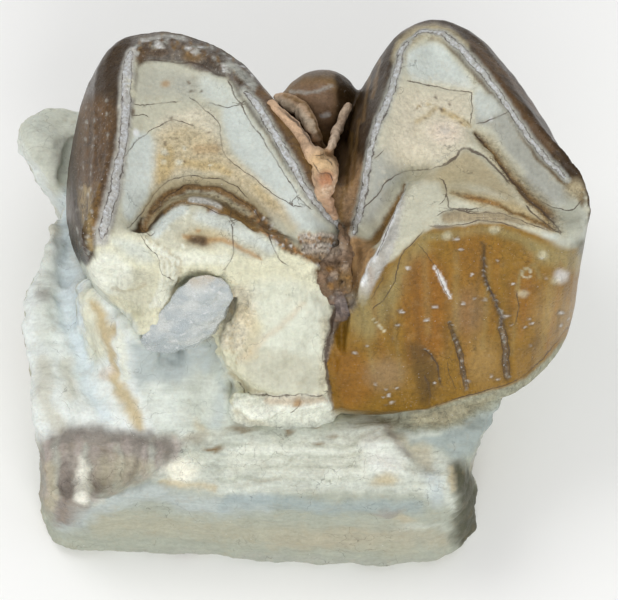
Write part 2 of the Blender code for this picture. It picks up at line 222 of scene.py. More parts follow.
class Surface:
    """Tint, gloss, grain, painted glints, cracks and relief of every vertex, laid on in strokes and patches."""

    def __init__(self, obj, ground, gloss, grain, wobble=0.05):
        points, normals = read_mesh(obj)
        count = len(points)
        self.obj = obj
        self.points = points
        self.normals = normals
        waver = np.stack([noise_at(points, 2.4, seed, 3) for seed in (3.0, 11.0)], axis=1)
        self.place = photo_place(points) + wobble * waver
        self.tint = np.tile(np.array(ground, float), (count, 1))
        self.gloss = np.full(count, gloss)
        self.grain = np.full(count, grain)
        # glint: how thickly white specks are painted in as glints, a painted highlight
        self.glint = np.zeros(count)
        self.rise = np.zeros(count)
        self.crack_near = np.full(count, FAR)
        self.crack_side = np.full(count, FAR)
        self.crack_width = np.zeros(count)
        self.ring_near = np.full(count, FAR)
        self.ring_side = np.full(count, FAR)
        self.ring_half = np.full(count, -1.0)
        self.seen = soft_step(SEEN_FROM, SEEN_FROM + SEEN_FADE, normals @ SIGHT)

    def lay(self, weight, tint=None, gloss=None, grain=None, glint=None, rise=0.0, everywhere=False):
        """Blends one finish over the surface by the given weight."""
        if not everywhere:
            weight = weight * self.seen
        if tint is not None:
            self.tint += (np.array(tint) - self.tint) * weight[:, None]
        if gloss is not None:
            self.gloss += (gloss - self.gloss) * weight
        if grain is not None:
            self.grain += (grain - self.grain) * weight
        if glint is not None:
            self.glint += (glint - self.glint) * weight
        self.rise += rise * weight

    def near(self, points, reach):
        """Indices of the places within reach of a line's box."""
        low, high = points.min(0) - reach, points.max(0) + reach
        return np.nonzero(((self.place > low) & (self.place < high)).all(1))[0]

    def patch(self, outline, tint, soft=0.08, strength=1.0, **finish):
        """Fills a closed outline, with an edge that fades over the given width."""
        outline = curve(outline, closed=True)
        rows = self.near(outline, soft)
        places = self.place[rows]
        distance = distance_to_line(places, np.vstack((outline, outline[:1])))[0]
        distance = np.where(inside(places, outline), distance, -distance)
        weight = np.zeros(len(self.place))
        weight[rows] = strength * soft_step(-soft, soft, distance)
        self.lay(weight, tint, **finish)

    def stroke(self, line, width, tint, soft=0.5, strength=1.0, **finish):
        """Draws a line whose half width may change along it. Soft is the share of it that fades."""
        line = curve(line)
        widths = np.atleast_1d(width).astype(float)
        rows = self.near(line, widths.max() * (1 + soft))
        near, _, along = distance_to_line(self.place[rows], line)
        half = np.interp(along, np.linspace(0, 1, len(widths)), widths)
        weight = np.zeros(len(self.place))
        weight[rows] = strength * (1 - soft_step(half * (1 - soft), half * (1 + soft), near))
        self.lay(weight, tint, **finish)

    def spot(self, middle, size, tint, strength=1.0, **finish):
        """A round or oval blot."""
        reach = np.broadcast_to(np.array(size, float), 2)
        offset = (self.place - np.array(middle)) / reach
        near = np.hypot(offset[:, 0], offset[:, 1])
        self.lay(strength * (1 - soft_step(1 - SPOT_SOFT, 1 + SPOT_SOFT, near)), tint, **finish)

    def crack(self, line, width=0.016, depth=0.02):
        """A fine dark line that the material draws sharply, with a shallow groove under it."""
        line = curve(line)
        rows = self.near(line, CRACK_REACH)
        rows = rows[self.seen[rows] > LINE_SEEN]
        near, side, along = distance_to_line(self.place[rows], line)
        length = np.hypot(*np.diff(line, axis=0).T).sum()
        ends = np.minimum(along, 1 - along) * length
        width = width * np.clip(ends / 0.12, 0.0, 1.0)
        closer = near < self.crack_near[rows]
        self.crack_near[rows] = np.where(closer, near, self.crack_near[rows])
        self.crack_side[rows] = np.where(closer, side, self.crack_side[rows])
        self.crack_width[rows] = np.where(closer, width, self.crack_width[rows])
        self.rise[rows] -= depth * np.exp(-((near / 0.07) ** 2))

    def ring(self, line, half, rise=0.04):
        """A worn enamel edge, a bright band between two dark lines, that the material draws sharply."""
        line = curve(line)
        rows = self.near(line, RING_REACH)
        near, side, along = distance_to_line(self.place[rows], line)
        halves = np.atleast_1d(half).astype(float)
        half = np.interp(along, np.linspace(0, 1, len(halves)), halves)
        length = np.hypot(*np.diff(line, axis=0).T).sum()
        half = half * np.clip(np.minimum(along, 1 - along) * length / 0.3, 0.0, 1.0)
        closer = near < self.ring_near[rows]
        self.ring_near[rows] = np.where(closer, near, self.ring_near[rows])
        self.ring_side[rows] = np.where(closer, side, self.ring_side[rows])
        self.ring_half[rows] = np.where(closer, half * (self.seen[rows] > LINE_SEEN), self.ring_half[rows])
        self.rise[rows] += rise * np.exp(-((near / (half + 0.05)) ** 2))

    def write(self):
        """Moves the vertices out by their relief and stores the finish as attributes of the mesh."""
        mesh = self.obj.data
        write_points(mesh, self.points + self.normals * self.rise[:, None])
        tint = mesh.attributes.new("tint", "FLOAT_COLOR", "POINT")
        rgba = np.hstack((np.clip(self.tint, 0, 1), np.ones((len(self.tint), 1))))
        tint.data.foreach_set("color", rgba.astype(np.float32).ravel())
        # The finish holds gloss, grain and how thickly glints are painted in
        finish = mesh.attributes.new("finish", "FLOAT_VECTOR", "POINT")
        values = np.stack((self.gloss, self.grain, self.glint), axis=1)
        finish.data.foreach_set("vector", values.astype(np.float32).ravel())
        for name, parts in (
            ("crack", (self.crack_side, self.crack_near, self.crack_width)),
            ("ring", (self.ring_side, self.ring_near, self.ring_half)),
        ):
            attribute = mesh.attributes.new(name, "FLOAT_VECTOR", "POINT")
            attribute.data.foreach_set("vector", np.stack(parts, axis=1).astype(np.float32).ravel())
        mesh.update()


def apply_modifier(obj, kind, name, **settings):
    modifier = obj.modifiers.new(name, kind)
    for key, value in settings.items():
        setattr(modifier, key, value)
    bpy.ops.object.modifier_apply(modifier=modifier.name)


def add_lumps(obj, lumps):
    """Adds overlapping rounded lumps, each given by its middle and its three half sizes."""
    shape = bmesh.new()
    shape.from_mesh(obj.data)
    for middle, size in lumps:
        place = Matrix.Translation(middle) @ Matrix.Diagonal((*size, 1.0))
        bmesh.ops.create_icosphere(shape, subdivisions=2, radius=1.0, matrix=place)
    shape.to_mesh(obj.data)
    shape.free()


def bridge(outline, size=0.5, spacing=0.3, lift=0.0):
    """Lumps that carry the surface on over a gap, between the depths found along its outline."""
    outline = curve(outline, closed=True, steps=3)
    depths = depths_at(outline)
    low, high = outline.min(0), outline.max(0)
    grid = np.meshgrid(np.arange(low[0], high[0], spacing), np.arange(low[1], high[1], spacing))
    places = np.stack(grid, axis=2).reshape(-1, 2)
    lumps = []
    for place in places[inside(places, outline)]:
        weight = 1 / (np.hypot(*(outline - place).T) ** 3 + 0.01)
        depth = weight @ depths / weight.sum() + lift - size
        lumps.append((point_at(place, depth), (size, size, size)))
    return lumps


def select_only(obj):
    bpy.ops.object.select_all(action="DESELECT")
    obj.select_set(True)
    bpy.context.view_layer.objects.active = obj


def new_piece(name, mesh):
    obj = bpy.data.objects.new(name, mesh)
    bpy.context.scene.collection.objects.link(obj)
    select_only(obj)
    return obj


def even_skin(obj, voxel, smoothing):
    """Puts an even fine skin round everything in the mesh, without small loose shells."""
    apply_modifier(obj, "REMESH", "Skin", mode="VOXEL", voxel_size=voxel)
    drop_strays(obj)
    apply_modifier(obj, "SMOOTH", "Soften", factor=0.5, iterations=smoothing)
    return obj


def fine_copy(node, name, voxel, smoothing, lumps):
    """A copy of a solid, in millimetres, with added lumps and an even fine skin in place of its facets."""
    obj = new_piece(name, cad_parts[node].data.copy())
    bpy.ops.object.mode_set(mode="EDIT")
    bpy.ops.mesh.select_all(action="SELECT")
    bpy.ops.mesh.remove_doubles(threshold=WELD)
    bpy.ops.object.mode_set(mode="OBJECT")
    obj.data.transform(Matrix.Scale(1 / MM, 4))
    add_lumps(obj, lumps)
    return even_skin(obj, voxel, smoothing)


def drop_strays(obj):
    """Removes the small loose shells that an even skin can leave."""
    mesh = bmesh.new()
    mesh.from_mesh(obj.data)
    left = set(mesh.faces)
    strays = []
    while left:
        shell = []
        found = [left.pop()]
        while found:
            face = found.pop()
            shell.append(face)
            for edge in face.edges:
                for other in edge.link_faces:
                    if other in left:
                        left.discard(other)
                        found.append(other)
        if len(shell) < FEWEST_SHELL_FACES:
            strays += shell
    bmesh.ops.delete(mesh, geom=strays, context="FACES")
    mesh.to_mesh(obj.data)
    mesh.free()


def thin_out(obj):
    """Larger faces on the root, which the socket hides, and somewhat larger ones on the plain cheek side."""
    group = obj.vertex_groups.new(name="Plain parts")
    places = [v.co for v in obj.data.vertices]
    neck, rim = NECK - 0.2, RIM - 2
    root = [i for i, co in enumerate(places) if co.z < neck]
    cheek = [i for i, co in enumerate(places) if co.y > CHEEK_SIDE and neck <= co.z < rim]
    group.add(root, 1.0, "REPLACE")
    group.add(cheek, 0.5, "REPLACE")
    ratio = MOST_TOOTH_FACES / (2 * len(obj.data.polygons))
    apply_modifier(obj, "DECIMATE", "Thin out", ratio=ratio, vertex_group=group.name)
    obj.vertex_groups.clear()


def read_mesh(obj):
    """Vertices and normals as arrays."""
    count = len(obj.data.vertices)
    points = np.empty(count * 3, np.float32)
    obj.data.vertices.foreach_get("co", points)
    normals = np.empty(count * 3, np.float32)
    obj.data.vertex_normals.foreach_get("vector", normals)
    return points.reshape(-1, 3).astype(float), normals.reshape(-1, 3).astype(float)


def write_points(mesh, points):
    """Sets the vertices from places in millimetres, back at their real size."""
    mesh.vertices.foreach_set("co", (points * MM).astype(np.float32).ravel())


def finish_piece(obj, material, slot, *nodes):
    """Gives a finished mesh its material and its place in the frame."""
    select_only(obj)
    obj.data.materials.clear()
    obj.data.materials.append(material)
    bpy.ops.object.shade_smooth()
    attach(obj, "root")
    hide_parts(*nodes)


class Nodes:
    """Short calls for wiring a material."""

    def __init__(self, name):
        self.material = bpy.data.materials.new(name)
        self.material.use_nodes = True
        self.tree = self.material.node_tree
        self.shader = self.tree.nodes["Principled BSDF"]

    def join(self, source, target):
        if isinstance(source, (int, float, tuple, list)):
            target.default_value = source
        else:
            self.tree.links.new(source, target)

    def math(self, operation, *values, clamp=False):
        node = self.tree.nodes.new("ShaderNodeMath")
        node.operation = operation
        node.use_clamp = clamp
        for value, socket in zip(values, node.inputs):
            self.join(value, socket)
        return node.outputs[0]

    def times(self, *values, clamp=False):
        return self.math("MULTIPLY", *values, clamp=clamp)

    def plus(self, *values):
        return self.math("ADD", *values)

    def minus(self, *values):
        return self.math("SUBTRACT", *values)

    def swing(self, value, amount):
        """A noise that swings round zero instead of round a half."""
        return self.times(self.minus(value, 0.5), amount)

    def range(self, value, low, high, to_low=0.0, to_high=1.0):
        node = self.tree.nodes.new("ShaderNodeMapRange")
        node.interpolation_type = "SMOOTHSTEP"
        for source, socket in zip((value, low, high, to_low, to_high), node.inputs):
            self.join(source, socket)
        return node.outputs[0]

    def mix(self, factor, first, second, blend="MIX"):
        node = self.tree.nodes.new("ShaderNodeMix")
        node.data_type = "RGBA"
        node.blend_type = blend
        self.join(factor, node.inputs[0])
        self.join(first, node.inputs[6])
        self.join(second, node.inputs[7])
        return node.outputs[2]

    def scale(self, vector, amount):
        node = self.tree.nodes.new("ShaderNodeVectorMath")
        node.operation = "SCALE"
        self.join(vector, node.inputs[0])
        self.join(amount, node.inputs["Scale"])
        return node.outputs[0]

    def millimetres(self, stretch=(1.0, 1.0, 1.0)):
        """Object coordinates in millimetres."""
        place = self.tree.nodes.new("ShaderNodeTexCoord").outputs["Object"]
        mapping = self.tree.nodes.new("ShaderNodeMapping")
        mapping.inputs["Scale"].default_value = [s / MM for s in stretch]
        self.join(place, mapping.inputs["Vector"])
        return mapping.outputs["Vector"]

    def noise(self, place, scale, detail=4.0, roughness=0.55):
        node = self.tree.nodes.new("ShaderNodeTexNoise")
        self.join(place, node.inputs["Vector"])
        node.inputs["Scale"].default_value = scale
        node.inputs["Detail"].default_value = detail
        node.inputs["Roughness"].default_value = roughness
        return node.outputs[0]

    def seams(self, place, scale, warp):
        """Distance to the borders of random cells whose sides are bent."""
        bend = self.tree.nodes.new("ShaderNodeTexNoise")
        self.join(place, bend.inputs["Vector"])
        bend.inputs["Scale"].default_value = 1.2
        bend.inputs["Detail"].default_value = 4.0
        moved = self.tree.nodes.new("ShaderNodeVectorMath")
        moved.operation = "ADD"
        self.join(place, moved.inputs[0])
        self.join(self.scale(bend.outputs["Color"], warp), moved.inputs[1])
        node = self.tree.nodes.new("ShaderNodeTexVoronoi")
        node.feature = "DISTANCE_TO_EDGE"
        self.join(moved.outputs[0], node.inputs["Vector"])
        node.inputs["Scale"].default_value = scale
        return node.outputs["Distance"]

    def attribute(self, name):
        node = self.tree.nodes.new("ShaderNodeAttribute")
        node.attribute_name = name
        return node

    def parts(self, name):
        """The three numbers of a vector attribute."""
        node = self.tree.nodes.new("ShaderNodeSeparateXYZ")
        self.join(self.attribute(name).outputs["Vector"], node.inputs[0])
        return node.outputs

    def bump(self, height, strength, depth):
        node = self.tree.nodes.new("ShaderNodeBump")
        node.inputs["Strength"].default_value = strength
        node.inputs["Distance"].default_value = depth * MM
        self.join(height, node.inputs["Height"])
        self.join(node.outputs[0], self.shader.inputs["Normal"])


def stone_material(name, streak=(1.0, 1.0, 1.0), coat=0.0, glow=0.0, bump=1.0):
    """Fossil stone in its tint, with grain, flecks, seams, a brown veil, painted white glints, cracks and
    enamel rings.
    """
    n = Nodes(name)
    place = n.millimetres()
    tint = n.attribute("tint").outputs["Color"]
    gloss, grain, glint = n.parts("finish")
    side, near, width = n.parts("crack")
    ring_side, ring_near, ring_half = n.parts("ring")

    broad = n.noise(place, 1.6, 6.0)
    fine = n.noise(place, 9.0, 6.0, 0.65)
    fleck = n.noise(place, 11.0, 3.0, 0.75)
    streaks = n.noise(n.millimetres(streak), 4.0, 5.0, 0.65)

    mottle = n.plus(n.plus(n.swing(broad, 1.0), n.swing(fine, 1.6)), n.swing(streaks, 1.4))
    shade = n.plus(1.0, n.times(mottle, n.plus(grain, 0.16)))
    colour = n.scale(tint, shade)
    dark = n.times(n.range(fleck, 0.3, 0.4, 1.0, 0.0), n.times(grain, 0.8, clamp=True))
    colour = n.mix(dark, colour, n.scale(tint, 0.28))
    light = n.times(n.range(fleck, 0.62, 0.7), n.times(grain, 0.3, clamp=True))
    colour = n.mix(light, colour, (0.8, 0.78, 0.74, 1.0))

    seam = n.range(n.seams(place, 0.9, 1.4), 0.002, 0.012, 1.0, 0.0)
    seam = n.times(seam, n.range(n.noise(place, 0.8, 3.0), 0.46, 0.6, 0.0, 0.55))
    colour = n.mix(seam, colour, n.scale(colour, 0.35))
    veil = n.times(n.range(n.noise(place, 2.6, 5.0, 0.7), 0.52, 0.66), 0.22)
    colour = n.mix(veil, colour, n.mix(0.5, colour, (0.42, 0.3, 0.15, 1.0)))

    offset = n.math("ABSOLUTE", n.plus(ring_side, n.swing(fine, 0.16)))
    close = n.math("LESS_THAN", ring_near, n.plus(ring_half, 0.13))
    edge = n.minus(offset, ring_half)
    band = n.times(n.range(edge, -0.03, 0.02, 1.0, 0.0), close)
    pale = n.mix(n.range(fine, 0.35, 0.62), (0.34, 0.33, 0.315, 1.0), (0.58, 0.6, 0.62, 1.0))
    pale = n.mix(n.range(streaks, 0.3, 0.5, 0.6, 0.0), pale, (0.27, 0.235, 0.2, 1.0))
    # White flecks in the enamel bands: painted glints
    pale = n.mix(n.range(fleck, 0.62, 0.7), pale, (0.82, 0.84, 0.87, 1.0))
    worn = n.noise(place, 3.2, 4.0, 0.6)
    colour = n.mix(n.times(band, n.range(worn, 0.36, 0.56, 0.3, 0.92)), colour, pale)
    rim = n.times(n.range(n.math("ABSOLUTE", edge), 0.006, 0.03, 1.0, 0.0), close)
    rim = n.times(rim, n.math("GREATER_THAN", ring_half, 0.02))
    colour = n.mix(n.times(rim, n.range(worn, 0.35, 0.6, 0.9, 0.35)), colour, (0.07, 0.052, 0.045, 1.0))

    # Painted glints: white specks laid into the colour as highlights, thicker where the glint share is high and
    # along the enamel bands
    specks = n.noise(place, 17.0, 2.0, 0.5)
    chance = n.plus(n.times(glint, 0.22), n.times(band, 0.07))
    painted_glint_speck = n.range(n.plus(specks, chance), 0.755, 0.79)
    colour = n.mix(n.times(painted_glint_speck, 0.85), colour, (0.88, 0.9, 0.92, 1.0))

    waver = n.swing(fine, 0.07)
    offset = n.math("ABSOLUTE", n.plus(side, waver))
    line = n.range(offset, n.times(width, 0.6), n.times(width, 1.8), 1.0, 0.0)
    line = n.times(line, n.range(near, 0.09, 0.13, 1.0, 0.0))
    line = n.times(line, n.math("GREATER_THAN", width, 0.001))
    line = n.times(line, n.range(broad, 0.35, 0.6, 0.3, 0.85))
    colour = n.mix(line, colour, (0.085, 0.058, 0.042, 1.0))
    n.join(colour, n.shader.inputs["Base Color"])

    rough = n.range(gloss, 0.0, 1.0, 0.85, 0.2)
    rough = n.plus(rough, n.swing(fine, 0.4))
    rough = n.minus(rough, n.times(painted_glint_speck, 0.4))
    n.join(n.math("MAXIMUM", rough, 0.12), n.shader.inputs["Roughness"])

    height = n.times(fine, n.plus(0.12, grain))
    height = n.plus(height, n.times(streaks, n.times(grain, 0.7)))
    height = n.minus(height, n.times(line, 0.7))
    height = n.plus(height, n.times(n.plus(painted_glint_speck, n.times(band, fleck)), 0.25))
    n.bump(height, 0.6, 0.09 * bump)

    n.shader.inputs["Specular IOR Level"].default_value = 0.2
    n.shader.inputs["Coat Weight"].default_value = coat
    n.shader.inputs["Coat Roughness"].default_value = 0.15
    n.shader.inputs["Subsurface Weight"].default_value = glow
    n.shader.inputs["Subsurface Radius"].default_value = (1.0, 0.6, 0.35)
    n.shader.inputs["Subsurface Scale"].default_value = 0.35 * MM
    return n.material


def paint(label, description, default):
    return bpy.props.FloatVectorProperty(
        name=label, description=description, default=default, size=3, min=0.0, max=1.0, subtype="COLOR"
    )


def length(label, description, default):
    return bpy.props.FloatProperty(
        name=label, description=description, default=default * MM, min=0.0, unit="LENGTH", precision=5
    )


def power(label, description, default):
    return bpy.props.FloatProperty(
        name=label, description=description, default=default, min=0.0, subtype="POWER", unit="POWER"
    )


class PaintSettings(bpy.types.PropertyGroup):
    """Colours of the fossil's tooth, bone and sediment"""

    flank_dark: paint("Dark flank", "Smooth enamel of the outer flanks", (0.038, 0.02, 0.006))
    flank_brown: paint("Brown flank", "Lighter brown enamel of the flanks", (0.12, 0.065, 0.025))
    # Also laid as painted shade in the groove along the top of the bone's recess
    rim_grey_and_shade: paint("Grey rim", "Chipped enamel along the top rim", (0.145, 0.125, 0.105))
    band: paint("Enamel band", "Worn edge of the enamel ring", (0.46, 0.45, 0.41))
    # Near-white of the painted glints: spots, dashes and specks that stand in for highlights
    painted_highlight_white: paint("Bright band", "Brightest stretches of the worn enamel", (0.78, 0.8, 0.8))
    dentine: paint("Dentine", "Pale grey-green dentine", (0.52, 0.51, 0.4))
    dentine_blue: paint("Blue dentine", "Cool pale dentine beside the rings", (0.55, 0.59, 0.55))
    dentine_cream: paint("Cream dentine", "Warm dentine in the middle of a lobe", (0.62, 0.57, 0.44))
    slab: paint("Grey slab", "Darker grey dentine of the right lobe", (0.38, 0.385, 0.34))
    tan: paint("Tan dentine", "Brownish grey dentine between the hollows", (0.42, 0.36, 0.23))
    ochre: paint("Ochre", "Iron stain in the dentine", (0.45, 0.34, 0.16))
    hollow: paint("Hollow brown", "Brown filling of the crescent hollows", (0.2, 0.115, 0.035))
    umber: paint("Umber", "Darkest brown of cracks and junctions", (0.09, 0.055, 0.03))
    line: paint("Line", "Grey-brown of drawn enamel lines", (0.17, 0.145, 0.125))
    rust: paint("Rust", "Rusty streaks", (0.38, 0.2, 0.06))
    cream: paint("Cream break", "Freshly broken dentine", (0.67, 0.655, 0.49))
    white: paint("White break", "Chalky white break", (0.75, 0.77, 0.67))
    honey: paint("Honey enamel", "Glossy tongue-side enamel", (0.235, 0.125, 0.014))
    honey_deep: paint("Deep honey", "Orange depths of the honey enamel", (0.25, 0.098, 0.008))
    honey_pale: paint("Pale honey", "Thin enamel along the upper edge", (0.28, 0.225, 0.09))
    honey_dark: paint("Dark honey", "Grooves and smudges in the honey enamel", (0.09, 0.05, 0.012))
    orange: paint("Orange earth", "Orange sediment against the tooth", (0.46, 0.24, 0.1))
    boss_green: paint("Green-white break", "Pale greenish planes of the broken lobe", (0.66, 0.68, 0.57))
    bone: paint("Bone", "Pale grey-white fossil bone", (0.56, 0.59, 0.52))
    bone_green: paint("Green bone", "Grey-green front face", (0.42, 0.44, 0.35))
    bone_beige: paint("Beige bone", "Warm beige bone", (0.47, 0.43, 0.31))
    bone_blue: paint("Blue bone", "Cool blue-grey bone", (0.47, 0.53, 0.54))
    # Also laid over the bone's recess as painted shade, over its mauve stain
    mauve_stain_and_shade: paint("Mauve bone", "Brown-purple shaded bone", (0.27, 0.235, 0.205))
    bone_olive: paint("Olive bone", "Dark olive edge at the right end", (0.12, 0.115, 0.075))
    bone_tan: paint("Tan bone", "Yellow-brown streak", (0.52, 0.42, 0.24))


class MeshSettings(bpy.types.PropertyGroup):
    """Fineness of the meshes"""

    molar_voxel: length("Tooth mesh", "Distance between neighbouring vertices of the tooth", 0.082)
    bone_voxel: length("Bone mesh", "Distance between neighbouring vertices of the bone", 0.1)
    lump_voxel: length("Lump mesh", "Distance between neighbouring vertices of sediment and silica", 0.05)


def speckle(s, line, half, count, size, tones, strength=0.7):
    """Small irregular spots strewn along a line, up to half away from it."""
    route = curve(line, steps=6)
    for step in range(count):
        place = route[(step * 7) % len(route)]
        away = half * ((step * 0.618) % 1.0)
        middle = (place[0] + away * cos(2.4 * step), place[1] + away * sin(2.4 * step))
        stretch = 0.6 + 0.25 * (step % 4)
        s.spot(middle, (size * stretch, size * (1.9 - stretch)), tones[(step * 5) % len(tones)], strength,
               grain=0.6, rise=0.015 * ((step % 3) - 1))


def mark_left_flank(s, c):
    lens = [
        (-5.55, 8.4), (-6.6, 8.2), (-7.4, 7.3), (-8.0, 6.1), (-8.1, 5.0), (-8.1, 3.8), (-8.0, 2.7),
        (-7.6, 1.6), (-6.9, 1.1), (-6.62, 1.9), (-6.45, 2.6), (-6.25, 3.3), (-6.1, 4.2), (-6.0, 5.0),
        (-5.95, 5.8), (-5.92, 6.6), (-5.75, 7.3),
    ]
    s.patch(lens, c.flank_dark, gloss=0.75, grain=0.25)
    rough_part = [
        (-6.9, 6.3), (-6.1, 6.1), (-6.15, 4.6), (-6.35, 3.2), (-6.8, 1.7), (-7.3, 2.6), (-7.5, 4.0),
        (-7.4, 5.5),
    ]
    s.patch(rough_part, c.flank_brown, 0.25, gloss=0.45, grain=0.9, glint=0.3)
    s.stroke([(-7.35, 5.6), (-7.45, 4.4), (-7.3, 3.0), (-7.0, 2.0)], 0.2, c.flank_dark, 0.9)
    s.stroke([(-7.0, 3.4), (-6.95, 2.6), (-6.8, 1.6)], (0.2, 0.16, 0.08), c.ochre, 0.7, 0.6)
    s.stroke([(-6.6, 3.6), (-6.65, 2.6), (-6.75, 2.0)], 0.08, c.hollow, 0.8, 0.7)
    for x, top, bottom in (
        (-6.85, 5.4, 3.6), (-6.6, 5.8, 4.2), (-7.1, 5.2, 3.2), (-6.45, 4.6, 3.3), (-6.95, 3.2, 2.0),
    ):
        s.stroke([(x, top), (x - 0.04, bottom)], 0.06, c.umber, 0.9, 0.6, rise=-0.05)
    speckle(s, [(-6.7, 6.0), (-6.75, 5.0), (-6.9, 3.8), (-7.0, 2.4), (-6.9, 1.6)], 0.5, 90, 0.05,
            (c.umber, c.band, c.flank_dark, c.line, c.flank_dark, c.slab, c.umber), 0.65)


def mark_left_band(s, c):
    band = [
        (-5.56, 7.85), (-5.68, 7.0), (-5.72, 6.2), (-5.76, 5.4), (-5.87, 4.6), (-6.03, 3.8), (-6.23, 2.9),
        (-6.5, 1.9),
    ]
    s.stroke(band, (0.1, 0.22, 0.22, 0.2, 0.2, 0.22, 0.25, 0.22), c.band, 0.5, gloss=0.6, grain=0.55,
             glint=0.1)
    s.ring(band, (0.06, 0.14, 0.13, 0.12, 0.11, 0.12, 0.14, 0.12))
    s.stroke([(-5.62, 6.85), (-5.5, 6.4)], 0.12, c.cream, 0.6, 0.6)
    s.spot((-5.5, 5.85), (0.07, 0.14), c.umber, 0.8, rise=-0.03)
    # Painted glint
    s.spot((-5.4, 5.2), (0.09, 0.13), c.painted_highlight_white, glint=0.4)


def mark_left_rim(s, c):
    rim = [
        (-5.7, 7.9), (-5.6, 8.6), (-4.6, 9.0), (-3.6, 8.8), (-2.4, 8.2), (-1.4, 7.3), (-1.2, 6.5),
        (-1.75, 6.2), (-2.15, 6.55), (-2.6, 6.95), (-3.3, 7.15), (-3.9, 7.4), (-4.5, 7.45), (-5.2, 7.5),
    ]
    s.patch(rim, c.rim_grey_and_shade, gloss=0.6, grain=0.8, glint=0.12, rise=-0.04)
    s.spot((-4.75, 7.75), (0.4, 0.14), c.umber, 0.8)
    s.spot((-3.65, 7.62), (0.3, 0.18), c.hollow, 0.8)
    s.spot((-5.3, 7.6), (0.22, 0.2), c.flank_brown, 0.7)
    s.spot((-3.0, 7.35), (0.5, 0.14), c.flank_dark, 0.6)
    speckle(s, [(-5.4, 7.8), (-4.6, 8.0), (-3.6, 7.85), (-2.7, 7.4), (-1.9, 6.8)], 0.38, 150, 0.07,
            (c.umber, c.band, c.flank_dark, c.slab, c.hollow, c.flank_brown, c.umber, c.painted_highlight_white), 0.7)
    s.stroke([(-2.5, 7.4), (-2.0, 7.0), (-1.6, 6.6)], 0.12, c.slab, 0.6, 0.8)
    s.stroke([(-5.2, 8.15), (-4.6, 8.28), (-3.9, 8.2)], 0.05, c.band, 0.8, 0.6)
    s.crack([(-5.15, 7.5), (-4.6, 7.47), (-4.1, 7.38), (-3.6, 7.42), (-3.1, 7.15), (-2.6, 6.95)], 0.018)


